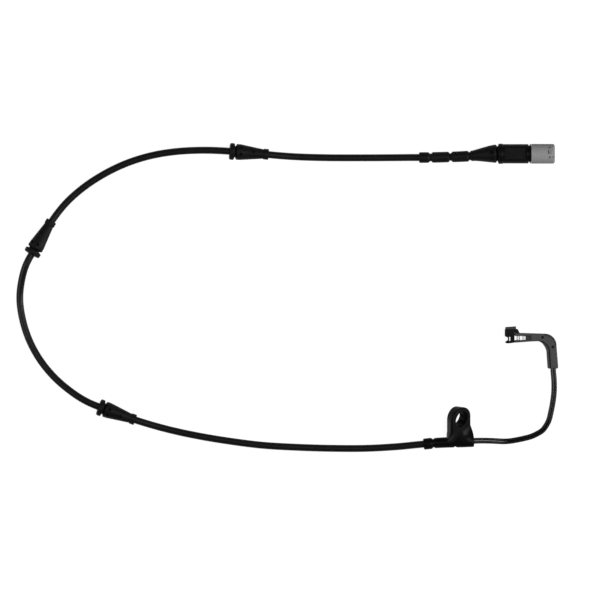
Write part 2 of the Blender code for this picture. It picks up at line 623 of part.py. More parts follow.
def make_holder(finish):
    """The rubber holder: a grooved barrel on the lead with the ear that clips it to the strut."""
    x, y = HOLDER_START
    axis, length = bent_axis([(x + along, y + aside, HOLDER_AXIS_HEIGHT) for along, aside in HOLDER_BEND])
    profile = (
        socket_profile()
        + [(0, HOLDER_LIP_RADIUS - 0.4), (0.4, HOLDER_LIP_RADIUS)]
        + groove(*HOLDER_GROOVE, HOLDER_LIP_RADIUS)[:-1]
        + [(HOLDER_GROOVE[0] + GROOVE_WIDTH / 2, HOLDER_RADIUS), (HOLDER_TAPER_START, HOLDER_RADIUS),
           (length - 0.6, HOLDER_END_RADIUS), (length, HOLDER_END_RADIUS - 0.5), (length, 0)]
    )
    holder = turned("lead_holder", profile, finish, frame_at=axis)
    combine(holder, ear_solid(), "UNION")
    centre = plan(*EAR_CENTRE)
    frame = pin_frame(centre, EAR_NORMAL)
    half = EAR_THICKNESS / 2
    hole = [(-2 * half, 0), (-2 * half, EAR_HOLE_BACK_RADIUS), (-half, EAR_HOLE_BACK_RADIUS),
            (half, EAR_HOLE_FRONT_RADIUS), (2 * half, EAR_HOLE_FRONT_RADIUS), (2 * half, 0)]
    combine(holder, turned("ear hole", hole, place=frame), "DIFFERENCE")
    notch = Matrix.Translation(plan(*HOLDER_NOTCH, 0)) @ Matrix.Rotation(math.radians(-90), 4, "Y")
    combine(holder, blind_hole("holder notch", notch, 0.9, 9.0), "DIFFERENCE")
    start, towards = (plan(*point) for point in WIRE_ROUTE[:2])
    for name, side in (("inner", 1), ("outer", -1)):
        offset = Vector((0, mm(side * (WIRE_RADIUS + WIRE_GAP / 2)), 0))
        at = pin_frame(start + offset, towards - start)
        socket = blind_hole(f"holder {name} wire socket", at, WIRE_RADIUS + SOCKET_GAP, 9.0, lead=TOUCH_GAP)
        combine(holder, socket, "DIFFERENCE")


def head_frame():
    return Matrix.Translation(plan(*HEAD_ORIGIN, 0))


def shifted(points, x, y):
    """Points that are measured from a corner of the head's drawing."""
    return [(x + along, y + across) for along, across in points]


def head_outline():
    """The head seen from above: leg, bend, arm and the fork's two jaws, anticlockwise."""
    return (
        arc((LEG_OUTER - LEG_CORNER, LEG_CORNER), LEG_CORNER, -90, 0, 4)
        + [LEG_WAIST]
        + shifted(arc(BEND_CENTRE, HEAD_BEND_RADIUS, 0, 90, 10), 0, ARM_INNER)
        + [(JAW_END + JAW_LENGTH / 2, ARM_OUTER), (JAW_END, ARM_OUTER), (JAW_END, SLOT_TOP),
           (SLOT_END - SLOT_CHAMFER, SLOT_TOP), (SLOT_END, SLOT_TOP - SLOT_CHAMFER),
           (SLOT_END, SLOT_BOTTOM + SLOT_CHAMFER), (SLOT_END - SLOT_CHAMFER, SLOT_BOTTOM),
           (JAW_END, SLOT_BOTTOM), (JAW_END, ARM_INNER)]
        + shifted(ARM_INNER_LINE + bezier(*BEND_INNER_CURVE, 8), 0, ARM_INNER)
        + [(LEG_INNER, LEG_CORNER + 0.2)]
        + arc((LEG_INNER + LEG_CORNER, LEG_CORNER), LEG_CORNER, 180, 270, 4)
    )


def make_sensor_housing(finish):
    """The charcoal head, with its ledge, its pocket and the seats of the pieces it holds."""
    frame = head_frame()
    head = extruded("sensor_housing", head_outline(), 0, HEAD_THICKNESS, finish, frame)
    soften(head, HEAD_BEVEL)
    curve, corners = (shifted(points, 0, ARM_INNER) for points in (bezier(*LEDGE_CURVE, 9), LEDGE_CORNERS))
    ledge = curve + LEDGE_FOOT + corners
    above = HEAD_THICKNESS + 3.0
    combine(head, extruded("head ledge", ledge, HEAD_THICKNESS - LEDGE_DEPTH, above, place=frame),
            "DIFFERENCE")
    pocket = box_outline(SLOT_END - 0.6, SLOT_END + POCKET_LENGTH, SLOT_BOTTOM - 0.1, SLOT_TOP + 0.25)
    combine(head, extruded("head pocket", pocket, HEAD_THICKNESS - POCKET_DEPTH, above, place=frame),
            "DIFFERENCE")
    for number, (x, y) in enumerate(shifted(HEAD_DIMPLES, 0, ARM_INNER)):
        at = frame @ pin_frame((mm(x), mm(y), mm(HEAD_THICKNESS)), (0, 0, -1))
        combine(head, blind_hole(f"head dimple {number}", at, HEAD_DIMPLE_RADIUS, 1.2, 10), "DIFFERENCE")
    for name, side in (("inner", 1), ("outer", -1)):
        x = -side * (WIRE_RADIUS + WIRE_GAP / 2)
        at = frame @ pin_frame((mm(x), 0, mm(HEAD_THICKNESS / 2)), (0, 1, 0))
        socket = blind_hole(f"head {name} wire socket", at, WIRE_RADIUS + SOCKET_GAP, WIRE_SOCKET_DEPTH)
        combine(head, socket, "DIFFERENCE")
    for name, (*plan_box, low, high) in seats().items():
        combine(head, extruded(f"head {name}", box_outline(*plan_box), low, high, place=frame), "DIFFERENCE")
    for name, (*plan_box, low, high) in tongues(0).items():
        tongue = extruded(f"head {name} tongue", box_outline(*plan_box), low, high, place=frame)
        combine(head, tongue, "UNION")


def loop_legs():
    return JAW_END + LOOP_SETBACK, JAW_END + LOOP_SETBACK + LOOP_WIDTH


def spring_ends():
    return SLOT_END - SPRING_SETBACK - SPRING_WIDTH, SLOT_END - SPRING_SETBACK


def seats():
    """Shallow seats in the jaws for the ends of the contact loop and of the spring plate."""
    left, right = loop_legs()
    loop = (left - LOOP_SEAT_MARGIN, right + LOOP_SEAT_MARGIN)
    start, end = spring_ends()
    plate = (start - PLUG_GAP, end + PLUG_GAP)
    return {
        "loop seat above": (*loop, SLOT_TOP - 0.5, SLOT_TOP + 0.95, 1.9, 3.1),
        "loop seat below": (*loop, SLOT_BOTTOM - 0.7, SLOT_BOTTOM + 0.5, 1.9, 3.1),
        "spring seat above": (*plate, SLOT_TOP - 0.5, SLOT_TOP + 0.5, 1.2, 2.4),
        "spring seat below": (*plate, SLOT_BOTTOM - 0.5, SLOT_BOTTOM + 0.5, 1.2, 2.4),
    }


def tongues(gap):
    """The tongues on which the tip sits, or with a gap the seats for them in the tip."""
    reach = JAW_END - TONGUE_LENGTH - gap
    low, high = (HEAD_THICKNESS - TONGUE_HEIGHT) / 2 - gap, (HEAD_THICKNESS + TONGUE_HEIGHT) / 2 + gap
    return {
        "upper jaw": (reach, JAW_END + 0.6, SLOT_TOP + 0.4 - gap, ARM_OUTER - 0.4 + gap, low, high),
        "lower jaw": (reach, JAW_END + 0.6, ARM_INNER + 0.45 - gap, SLOT_BOTTOM - 0.3 + gap, low, high),
    }


def tip_outline():
    """The black tip seen from above: block, thin web, pointed foot and the leg on the jaws."""
    leg = JAW_END - PLUG_GAP
    middle = (SLOT_BOTTOM + SLOT_TOP) / 2
    return (
        [(leg, ARM_INNER), (leg, ARM_OUTER + PLUG_GAP)] + shifted(TIP_SHOULDER, JAW_END, ARM_OUTER)
        + shifted(TIP_WEB, JAW_END, middle) + shifted(TIP_FOOT, JAW_END, ARM_INNER)
    )


def make_wear_tip(finish):
    """The black tip that the disc wears away, plugged onto the fork's jaws."""
    frame = head_frame()
    tip = extruded("wear_tip", tip_outline(), 0, TIP_THICKNESS, finish, frame)
    soften(tip, TIP_BEVEL, 1)
    line = shifted(TIP_PLATE, JAW_END, ARM_OUTER)
    plate = extruded("tip plate", line, 0, TIP_PLATE_THICKNESS, place=frame)
    soften(plate, TIP_BEVEL, 1)
    combine(tip, plate, "UNION")
    line = shifted(TIP_WINDOW, JAW_END, (SLOT_BOTTOM + SLOT_TOP) / 2)
    combine(tip, extruded("tip window", line, -1, 8, place=frame), "DIFFERENCE")
    for name, (*plan_box, low, high) in tongues(PLUG_GAP).items():
        seat = extruded(f"tip {name} seat", box_outline(*plan_box), low, high, place=frame)
        combine(tip, seat, "DIFFERENCE")


def make_contact_loop(finish):
    """The bare wire loop across the slot: the disc cuts it when the pad is worn."""
    left, right = loop_legs()
    foot, top = SLOT_BOTTOM - 0.4, SLOT_TOP + 0.58
    line = [(left, foot), (left, top - 0.9), (left + 0.05, top - 0.35), (left + 0.35, top),
            (right - 0.35, top), (right - 0.05, top - 0.35), (right, top - 0.9), (right, foot)]
    points = [head_frame() @ Vector((mm(x), mm(y), mm(LOOP_HEIGHT))) for x, y in line]
    tube("contact_loop", points, LOOP_RADIUS, 2, finish)


def make_spring_plate(finish):
    """The waved steel plate in the fork's throat that grips the pad's edge."""
    low, high = SLOT_BOTTOM - 0.35, SLOT_TOP + 0.35
    count = 13
    ys = np.linspace(low, high, count)
    wave = [1.65 + 0.18 * math.sin(3 * math.pi * 2 * k / (count - 1)) for k in range(count)]
    bm = bmesh.new()
    columns = []
    corners = box_outline(*spring_ends(), 0, SPRING_THICKNESS)
    for y, z in zip(ys, wave):
        columns.append([bm.verts.new((mm(x), mm(y), mm(z + lift))) for x, lift in corners])
    for first, second in zip(columns, columns[1:]):
        for k in range(4):
            bm.faces.new([first[k], first[(k + 1) % 4], second[(k + 1) % 4], second[k]])
    bm.faces.new(columns[0])
    bm.faces.new(columns[-1])
    object_from("spring_plate", bm, finish, head_frame())


def main():
    clear_scene()
    rubber = material("black rubber", (0.012, 0.012, 0.013), 0.6)
    jacket = material("black jacket", (0.014, 0.014, 0.015), 0.45)
    housing = material("black plastic", (0.012, 0.012, 0.013), 0.4)
    grey = material("grey plastic", (0.25, 0.25, 0.25), 0.5)
    charcoal = material("charcoal plastic", (0.06, 0.06, 0.06), 0.55)
    metal = material("tinned metal", (0.6, 0.6, 0.58), 0.3, 1.0)
    make_sheath(jacket)
    make_wires(jacket)
    make_grommets(rubber)
    make_connector_boot(rubber)
    make_connector_housing(housing)
    make_interface_seal(rubber)
    make_connector_sleeve(grey)
    make_contacts(housing, metal)
    make_holder(rubber)
    make_sensor_housing(charcoal)
    make_wear_tip(housing)
    make_contact_loop(metal)
    make_spring_plate(metal)


main()
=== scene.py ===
"""The looks of the brake pad wear sensor: fine, softly edged versions of its moulded pieces, its
cords, their materials, and the photograph's straight-down view with its lights.

Lengths are written in millimetres in the drawing's own plan, as in part.py, and plan() and mm()
turn them into metres in the frame.
"""

import math

import bmesh
import bpy
import numpy as np
from mathutils import Matrix, Vector


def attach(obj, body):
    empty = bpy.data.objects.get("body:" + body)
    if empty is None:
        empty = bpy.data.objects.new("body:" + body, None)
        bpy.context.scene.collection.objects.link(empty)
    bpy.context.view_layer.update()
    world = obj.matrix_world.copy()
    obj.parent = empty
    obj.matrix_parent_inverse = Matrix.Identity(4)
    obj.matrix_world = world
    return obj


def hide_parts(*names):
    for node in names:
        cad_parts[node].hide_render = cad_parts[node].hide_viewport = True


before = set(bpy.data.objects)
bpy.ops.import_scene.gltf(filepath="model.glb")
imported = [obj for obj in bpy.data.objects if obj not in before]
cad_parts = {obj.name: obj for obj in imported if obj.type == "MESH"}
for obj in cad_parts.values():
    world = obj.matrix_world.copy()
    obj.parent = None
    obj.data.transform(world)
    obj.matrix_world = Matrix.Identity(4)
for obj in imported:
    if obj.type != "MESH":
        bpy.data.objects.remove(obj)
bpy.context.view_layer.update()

# The photograph: its middle is the drawing's zero, and its width in pixels covers VIEW_WIDTH
VIEW_WIDTH = 384.8
LENS = 1500.0
SENSOR_WIDTH = 36.0

PLAN_CENTRE = (-2.91, -0.15)

JACKET_RADIUS = 2.3
WIRE_RADIUS = 0.93
WIRE_GAP = 0.06
# How far apart the two wires run, at distances along them: they part at first, then press together
WIRE_GAPS = ((0, 0.08), (22, 0.08), (27, -0.012), (200, -0.012))

GROMMET_AXIS_HEIGHT = 5.67
GROMMET_PITCH = math.atan(0.0825)
GROMMETS = {
    "grommet_connector_end": (-43.16, 94.06, math.radians(-4.7)),
    "grommet_middle": (-171.93, 27.04, math.radians(59.0)),
    "grommet_sensor_end": (-128.31, -72.02, math.radians(-19.75)),
}

# How each is turned about its own axis
GROMMET_ROLLS = {
    "grommet_connector_end": math.radians(-12.0),
    "grommet_middle": math.radians(-22.0),
    "grommet_sensor_end": math.radians(17.0),
}

CONNECTOR_Y = 92.4
CONNECTOR_AXIS_HEIGHT = 6.6
BOOT_START = 79.95
HOUSING_START = 131.4
SEAL_GROOVE_START = 150.95
SEAL_GROOVE_END = 152.05
SHOULDER_END = 152.8
SLEEVE_END = 168.2
HOUSING_RADIUS = 6.25

HOLDER_START = (82.9, -96.3)
HOLDER_AXIS_HEIGHT = 3.7
EAR_LEAN = math.radians(24.45)
EAR_TWIST = math.radians(45.7)
EAR_UP = Vector((0, math.cos(EAR_LEAN), math.sin(EAR_LEAN)))
EAR_NORMAL = Matrix.Rotation(EAR_TWIST, 3, EAR_UP) @ Vector((1, 0, 0)).cross(EAR_UP)
EAR_TWIST_END = 6.5
EAR_CENTRE = Vector((104.9, -79.3, 10.9))
EAR_THICKNESS = 6.8
EAR_FRONT_RADIUS = 9.2
EAR_BACK_RADIUS = 6.35
EAR_FRONT_RISE = 0.865
EAR_BACK_RISE = 1.1
EAR_FOOT_HALF_WIDTH = 8.7
EAR_FOOT_HALF_THICKNESS = 3.1
EAR_FOOT_SHIFT = 2.2

HEAD_ORIGIN = (166.95, -47.2)
HEAD_THICKNESS = 5.0
HEAD_BEND_RADIUS = 7.64
SLOT_TOP = 21.2
SLOT_BOTTOM = 18.6
SLOT_END = -17.75
JAW_END = -24.85


def mm(value):
    return value * 0.001


def plan(x, y, z):
    return Vector((mm(x - PLAN_CENTRE[0]), mm(y - PLAN_CENTRE[1]), mm(z)))


# part.py's routes, with the lead's own drawn a little finer
SHEATH_ROUTE = [
    (86.0, 90.0, 3.60), (81.0, 90.0, 3.52), (74.8, 90.0, 3.18), (63.2, 89.9, 2.45),
    (42.0, 89.8, 2.30), (18.8, 89.9, 2.30), (-2.3, 90.6, 2.42), (-24.2, 92.4, 4.09),
    (-45.2, 94.2, 5.91), (-61.3, 94.7, 5.38), (-78.4, 93.8, 3.06), (-94.2, 91.2, 2.30),
    (-109.5, 86.5, 2.30), (-124.5, 79.4, 2.30), (-138.0, 70.6, 2.30), (-149.3, 60.6, 2.51),
    (-158.7, 48.7, 3.59), (-168.5, 32.5, 5.14), (-175.3, 20.5, 6.07), (-178.4, 9.5, 4.27),
    (-179.5, -1.9, 2.39), (-177.9, -14.3, 2.30), (-173.9, -27.4, 2.30), (-167.4, -39.9, 2.30),
    (-158.7, -51.1, 2.86), (-148.2, -60.6, 4.29), (-136.5, -68.3, 5.92), (-122.7, -74.0, 5.22),
    (-103.3, -80.9, 3.45), (-84.3, -86.4, 2.30), (-64.3, -90.8, 2.30), (-42.6, -94.4, 2.30),
    (-21.6, -97.0, 2.30), (0.5, -98.3, 2.30), (23.4, -99.0, 2.30), (45.6, -99.0, 2.30),
    (65.7, -97.9, 2.72), (77.0, -96.8, 3.39), (83.2, -96.2, 3.71), (88.2, -95.7, 3.70),
]
WIRE_ROUTE = [
    (111.6, -94.4, 3.7), (116.4, -94.1, 3.65), (120.9, -94.0, 3.2), (126.5, -94.1, 2.1),
    (130.7, -94.3, 1.3), (134.6, -94.5, 0.95), (138.8, -94.3, 0.9), (143.7, -93.5, 0.9),
    (148.9, -92.4, 0.9), (153.1, -91.2, 0.9), (157.0, -89.4, 0.9), (160.2, -87.3, 0.9),
    (162.6, -84.2, 0.9), (164.4, -80.6, 0.95), (165.7, -75.4, 1.1), (166.9, -69.2, 1.3),
    (167.6, -63.7, 1.6), (167.8, -58.5, 1.95), (167.6, -53.3, 2.3), (167.2, -48.8, 2.5),
    (166.95, -42.3, 2.5),
]


# ---------------------------------------------------------------- camera, floor and light

def make_camera():
    camera = bpy.data.cameras.new("camera")
    camera.sensor_width = SENSOR_WIDTH
    camera.lens = LENS
    distance = mm(VIEW_WIDTH) * LENS / SENSOR_WIDTH
    camera.clip_end = 4 * distance
    obj = bpy.data.objects.new("camera", camera)
    obj.location = plan(0, 0, 0) + Vector((0, 0, distance))
    bpy.context.scene.collection.objects.link(obj)
    bpy.context.scene.camera = obj


def make_floor():
    """A white table: the camera sees it white, with the object's shadow kept on it."""
    bm = bmesh.new()
    bmesh.ops.create_grid(bm, x_segments=1, y_segments=1, size=30)
    mesh = bpy.data.meshes.new("floor")
    bm.to_mesh(mesh)
    bm.free()
    floor = bpy.data.objects.new("floor", mesh)
    floor.location.z = mm(-0.02)
    bpy.context.scene.collection.objects.link(floor)
    made = bpy.data.materials.new("floor")
    made.use_nodes = True
    nodes, links = made.node_tree.nodes, made.node_tree.links
    nodes.clear()
    diffuse = nodes.new("ShaderNodeBsdfDiffuse")
    diffuse.inputs["Color"].default_value = (0.13, 0.13, 0.13, 1)
    glow = nodes.new("ShaderNodeEmission")
    seen = seen_by_eye(made)
    lift = nodes.new("ShaderNodeMath")
    lift.operation = "MULTIPLY"
    lift.inputs[1].default_value = 0.9
    both = nodes.new("ShaderNodeAddShader")
    out = nodes.new("ShaderNodeOutputMaterial")
    links.new(seen, lift.inputs[0])
    links.new(lift.outputs[0], glow.inputs["Strength"])
    links.new(diffuse.outputs[0], both.inputs[0])
    links.new(glow.outputs[0], both.inputs[1])
    links.new(both.outputs[0], out.inputs["Surface"])
    mesh.materials.append(made)


def seen_by_eye(owner):
    """1 for camera, glossy and transmission rays, in a material or world."""
    nodes, links = owner.node_tree.nodes, owner.node_tree.links
    path = nodes.new("ShaderNodeLightPath")
    first = nodes.new("ShaderNodeMath")
    first.operation = "MAXIMUM"
    second = nodes.new("ShaderNodeMath")
    second.operation = "MAXIMUM"
    links.new(path.outputs["Is Camera Ray"], first.inputs[0])
    links.new(path.outputs["Is Glossy Ray"], first.inputs[1])
    links.new(first.outputs[0], second.inputs[0])
    links.new(path.outputs["Is Transmission Ray"], second.inputs[1])
    return second.outputs[0]


def make_world():
    """A dark room with a pale ceiling. Its horizon is white to the camera and in reflections."""
    world = bpy.data.worlds.new("world")
    bpy.context.scene.world = world
    world.use_nodes = True
    nodes, links = world.node_tree.nodes, world.node_tree.links
    nodes.clear()
    parts = nodes.new("ShaderNodeSeparateXYZ")
    links.new(nodes.new("ShaderNodeTexCoord").outputs["Generated"], parts.inputs[0])

    def by_height(low, high, at_low, at_high):
        node = nodes.new("ShaderNodeMapRange")
        node.interpolation_type = "SMOOTHSTEP"
        for name, value in (("From Min", low), ("From Max", high), ("To Min", at_low), ("To Max", at_high)):
            node.inputs[name].default_value = value
        links.new(parts.outputs["Z"], node.inputs["Value"])
        return node.outputs[0]

    def joined(operation, first, second):
        node = nodes.new("ShaderNodeMath")
        node.operation = operation
        links.new(first, node.inputs[0])
        links.new(second, node.inputs[1])
        return node.outputs[0]

    ceiling = by_height(0.2, 0.75, 0.04, 0.3)
    horizon = joined("MULTIPLY", by_height(0.02, 0.1, 1.0, 0.0), seen_by_eye(world))
    camera = nodes.new("ShaderNodeLightPath").outputs["Is Camera Ray"]
    sky = nodes.new("ShaderNodeBackground")
    links.new(joined("MAXIMUM", joined("MAXIMUM", ceiling, horizon), camera), sky.inputs["Strength"])
    out = nodes.new("ShaderNodeOutputWorld")
    links.new(sky.outputs[0], out.inputs["Surface"])
    sky.inputs["Color"].default_value = (1, 1, 1, 1)


def add_softbox(name, tilt, heading, distance, size, power):
    """An area lamp that looks at the part's middle, tilted from the vertical towards a heading."""
    lamp = bpy.data.lights.new(name, "AREA")
    lamp.shape = "RECTANGLE"
    lamp.size, lamp.size_y = size
    lamp.energy = power
    obj = bpy.data.objects.new(name, lamp)
    t, h = math.radians(tilt), math.radians(heading)
    way = Vector((math.sin(t) * math.cos(h), math.sin(t) * math.sin(h), math.cos(t)))
    obj.location = distance * way
    obj.rotation_mode = "QUATERNION"
    obj.rotation_quaternion = way.to_track_quat("Z", "Y")
    bpy.context.scene.collection.objects.link(obj)


def make_lights():
    add_softbox("softbox_left", 54, 180, 1.1, (0.6, 0.6), 9)
    add_softbox("softbox_right", 68, -2, 1.6, (0.6, 0.6), 26)
    add_softbox("softbox_top", 18, 0, 2.0, (0.5, 0.5), 17)


# ---------------------------------------------------------------- materials

class Look:
    """A Principled material that is built up from procedural layers."""

    def __init__(self, name, roughness, specular=0.5, metallic=0.0):
        self.made = bpy.data.materials.new(name)
        self.made.use_nodes = True
        self.nodes = self.made.node_tree.nodes
        self.links = self.made.node_tree.links
        self.shader = self.nodes["Principled BSDF"]
        self.shader.inputs["Metallic"].default_value = metallic
        self.shader.inputs["Specular IOR Level"].default_value = specular
        self.shader.inputs["Roughness"].default_value = roughness
        self.place = self.nodes.new("ShaderNodeTexCoord").outputs["Object"]
        self.bump_from = None

    def noise(self, size, detail=2.0, stretch=None, roughness=0.5):
        """A noise whose lumps are about size millimetres."""
        node = self.nodes.new("ShaderNodeTexNoise")
        node.inputs["Scale"].default_value = 1000.0 / size
        node.inputs["Detail"].default_value = detail
        node.inputs["Roughness"].default_value = roughness
        if stretch:
            shape = self.nodes.new("ShaderNodeMapping")
            shape.inputs["Scale"].default_value = stretch
            self.links.new(self.place, shape.inputs["Vector"])
            self.links.new(shape.outputs[0], node.inputs["Vector"])
        else:
            self.links.new(self.place, node.inputs["Vector"])
        return node.outputs["Fac"]

    def ramp(self, source, low, high, first=0.3, last=0.7):
        """source from first to last becomes a value from low to high."""
        node = self.nodes.new("ShaderNodeMapRange")
        node.inputs["From Min"].default_value = first
        node.inputs["From Max"].default_value = last
        node.inputs["To Min"].default_value = low
        node.inputs["To Max"].default_value = high
        self.links.new(source, node.inputs["Value"])
        return node.outputs[0]

    def colour(self, source, low, high, first=0.3, last=0.7):
        mix = self.nodes.new("ShaderNodeMix")
        mix.data_type = "RGBA"
        mix.inputs["A"].default_value = (*low, 1)
        mix.inputs["B"].default_value = (*high, 1)
        self.links.new(self.ramp(source, 0, 1, first, last), mix.inputs["Factor"])
        self.links.new(mix.outputs["Result"], self.shader.inputs["Base Color"])
        return self

    def rough(self, source, low, high):
        self.links.new(self.ramp(source, low, high), self.shader.inputs["Roughness"])
        return self

    def bump(self, source, height, strength=1.0):
        """Adds relief of about height millimetres on top of what is there."""
        node = self.nodes.new("ShaderNodeBump")
        node.inputs["Strength"].default_value = strength
        node.inputs["Distance"].default_value = mm(height)
        self.links.new(source, node.inputs["Height"])
        if self.bump_from:
            self.links.new(self.bump_from, node.inputs["Normal"])
        self.bump_from = node.outputs[0]
        self.links.new(self.bump_from, self.shader.inputs["Normal"])
        return self


def rubber_look(name, dark, light, roughness, specular, relief=1.0):
    look = Look(name, roughness, specular)
    cloud = look.noise(9.0, 3.0)
    grain = look.noise(0.22, 2.0)
    look.colour(cloud, dark, light)
    look.rough(look.noise(4.0, 4.0), roughness - 0.06, roughness + 0.08)
    look.bump(grain, 0.02, 0.6 * relief)
    look.bump(look.noise(1.6, 3.0), 0.03, 0.5 * relief)
    return look.made


def plastic_look(name, dark, light, roughness, specular, grain_height=0.012):
    look = Look(name, roughness, specular)
    look.colour(look.noise(0.9, 5.0, roughness=0.65), dark, light)
    look.rough(look.noise(3.0, 4.0), roughness - 0.05, roughness + 0.06)
    look.bump(look.noise(0.16, 2.0), grain_height, 0.7)
    look.bump(look.noise(5.0, 2.0), 0.03, 0.35)
    return look.made


def metal_look(name, dark, light, roughness):
    look = Look(name, roughness, 0.5, 1.0)
    look.colour(look.noise(0.7, 4.0), dark, light)
    look.rough(look.noise(0.5, 3.0), roughness - 0.08, roughness + 0.1)
    look.bump(look.noise(0.3, 3.0), 0.004, 0.6)
    return look.made


def grey(value, tint=(1.0, 1.0, 1.0)):
    return tuple(value * t for t in tint)


def make_looks():
    return {
        "rubber": rubber_look("moulded rubber", grey(0.002), grey(0.0045), 0.5, 0.06),
        "jacket": rubber_look("lead jacket", grey(0.0025), grey(0.0045), 0.34, 0.09, 0.5),
        "wire": rubber_look("wire insulation", grey(0.002), grey(0.0035), 0.24, 0.13, 0.15),
        "holder": rubber_look("holder rubber", grey(0.0018), grey(0.0034), 0.28, 0.028),
        "black": plastic_look("black plastic", grey(0.0018), grey(0.0034), 0.38, 0.035),
        "grey": plastic_look("grey plastic", grey(0.152), grey(0.19), 0.45, 0.08),
        "charcoal": plastic_look("charcoal plastic", grey(0.028), grey(0.044), 0.5, 0.09, 0.02),
        "plate": plastic_look("tip plate", grey(0.014), grey(0.025), 0.45, 0.12),
        "metal": metal_look("tinned metal", (0.55, 0.55, 0.53), (0.72, 0.71, 0.68), 0.28),
        "loop": metal_look("bare wire", (0.05, 0.048, 0.045), (0.11, 0.105, 0.1), 0.35),
        "steel": plastic_look("zinc-flake coat", grey(0.66), grey(0.8), 0.4, 0.5, 0.006),
    }


# ---------------------------------------------------------------- shapes

def smooth_curve(route, step):
    """Evenly spaced points on a smooth curve through the route's points."""
    given = np.array(route, float)
    given = np.vstack([2 * given[0] - given[1], given, 2 * given[-1] - given[-2]])
    dense = []
    for p0, p1, p2, p3 in zip(given, given[1:], given[2:], given[3:]):
        knots = [0.0]
        for a, b in ((p0, p1), (p1, p2), (p2, p3)):
            knots.append(knots[-1] + math.sqrt(np.linalg.norm(b - a)))
        t0, t1, t2, t3 = knots
        for t in np.linspace(t1, t2, 32, endpoint=False):
            a1 = ((t1 - t) * p0 + (t - t0) * p1) / (t1 - t0)
            a2 = ((t2 - t) * p1 + (t - t1) * p2) / (t2 - t1)
            a3 = ((t3 - t) * p2 + (t - t2) * p3) / (t3 - t2)
            b1 = ((t2 - t) * a1 + (t - t0) * a2) / (t2 - t0)
            b2 = ((t3 - t) * a2 + (t - t1) * a3) / (t3 - t1)
            dense.append(((t2 - t) * b1 + (t - t1) * b2) / (t2 - t1))
    dense.append(given[-2])
    dense = np.array(dense)
    along = np.concatenate([[0], np.cumsum(np.linalg.norm(np.diff(dense, axis=0), axis=1))])
    wanted = np.linspace(0, along[-1], max(2, round(along[-1] / step) + 1))
    return np.column_stack([np.interp(wanted, along, dense[:, axis]) for axis in range(3)])


def arc(centre, radius, start, end, count):
    angles = np.radians(np.linspace(start, end, count))
    return [(centre[0] + radius * math.cos(a), centre[1] + radius * math.sin(a)) for a in angles]


def bezier(p0, p1, p2, p3, count):
    ts = np.linspace(0, 1, count)
    p0, p1, p2, p3 = (np.array(p, float) for p in (p0, p1, p2, p3))
    return [tuple((1 - t) ** 3 * p0 + 3 * t * (1 - t) ** 2 * p1 + 3 * t * t * (1 - t) * p2 + t ** 3 * p3)
            for t in ts]


def filleted(points, segments=5):
    """An open line of (x, y) or (x, y, radius) points with those corners rounded."""
    out = [tuple(points[0][:2])]
    for before, here, after in zip(points, points[1:], points[2:]):
        radius = here[2] if len(here) > 2 else 0.0
        p = np.array(here[:2], float)
        a, b = np.array(before[:2], float) - p, np.array(after[:2], float) - p
        la, lb = np.linalg.norm(a), np.linalg.norm(b)
        if radius <= 0 or la < 1e-9 or lb < 1e-9:
            out.append(tuple(p))
            continue
        a, b = a / la, b / lb
        half = math.acos(max(-1.0, min(1.0, float(a @ b)))) / 2
        if half > math.radians(88):
            out.append(tuple(p))
            continue
        back = min(radius / math.tan(half), 0.48 * la, 0.48 * lb)
        start, end = p + back * a, p + back * b
        for t in np.linspace(0, 1, segments + 1):
            out.append(tuple((1 - t) ** 2 * start + 2 * t * (1 - t) * p + t * t * end))
    out.append(tuple(points[-1][:2]))
    return [(float(x), float(y)) for x, y in out]


def object_from(name, bm, look=None, place=None, sharp=38):
    bmesh.ops.recalc_face_normals(bm, faces=bm.faces)
    mesh = bpy.data.meshes.new(name)
    bm.to_mesh(mesh)
    bm.free()
    mesh.shade_smooth()
    mesh.set_sharp_from_angle(angle=math.radians(sharp))
    obj = bpy.data.objects.new(name, mesh)
    bpy.context.scene.collection.objects.link(obj)
    if look:
        mesh.materials.append(look)
    if place:
        obj.matrix_world = place
    return obj


def with_stops(profile, longest):
    points = []
    for (d0, r0), (d1, r1) in zip(profile, profile[1:]):
        parts = max(1, math.ceil(abs(d1 - d0) / longest))
        points += [(d0 + (d1 - d0) * k / parts, r0 + (r1 - r0) * k / parts) for k in range(parts)]
    return points + [profile[-1]]


def turned(name, profile, look=None, place=None, sides=96, frame_at=None, ridge=0.0, stops=None):
    """A solid turned about +X from (distance, radius) pairs in millimetres.

    ridge raises two fine parting lines along its sides. frame_at bends its axis.
    """
    bm = bmesh.new()
    rings = []
    if stops:
        profile = with_stops(profile, stops)
    for distance, radius in profile:
        at = frame_at(distance) if frame_at else Matrix.Translation((mm(distance), 0, 0))
        if radius == 0:
            rings.append([bm.verts.new(at @ Vector((0, 0, 0)))])
            continue
        ring = []
        for k in range(sides):
            a = 2 * math.pi * k / sides
            lift = ridge * math.exp(-((math.sin(a) * radius / 0.16) ** 2))
            ring.append(bm.verts.new(at @ Vector((0, mm(radius + lift) * math.cos(a), mm(radius + lift) * math.sin(a)))))
        rings.append(ring)
    pairs = list(zip(rings, rings[1:]))
    if len(rings[0]) > 1:
        pairs.append((rings[-1], rings[0]))
    for first, second in pairs:
        for k in range(sides):
            corners = [first[k % len(first)], first[(k + 1) % len(first)],
                       second[(k + 1) % len(second)], second[k % len(second)]]
            bm.faces.new(dict.fromkeys(corners))
    return object_from(name, bm, look, place)


def extruded(name, outline, low, high, look=None, place=None):
    bm = bmesh.new()
    face = bm.faces.new([bm.verts.new((mm(x), mm(y), mm(low))) for x, y in outline])
    sides = bmesh.ops.extrude_face_region(bm, geom=[face])["geom"]
    raised = [item for item in sides if isinstance(item, bmesh.types.BMVert)]
    bmesh.ops.translate(bm, verts=raised, vec=(0, 0, mm(high - low)))
    return object_from(name, bm, look, place)


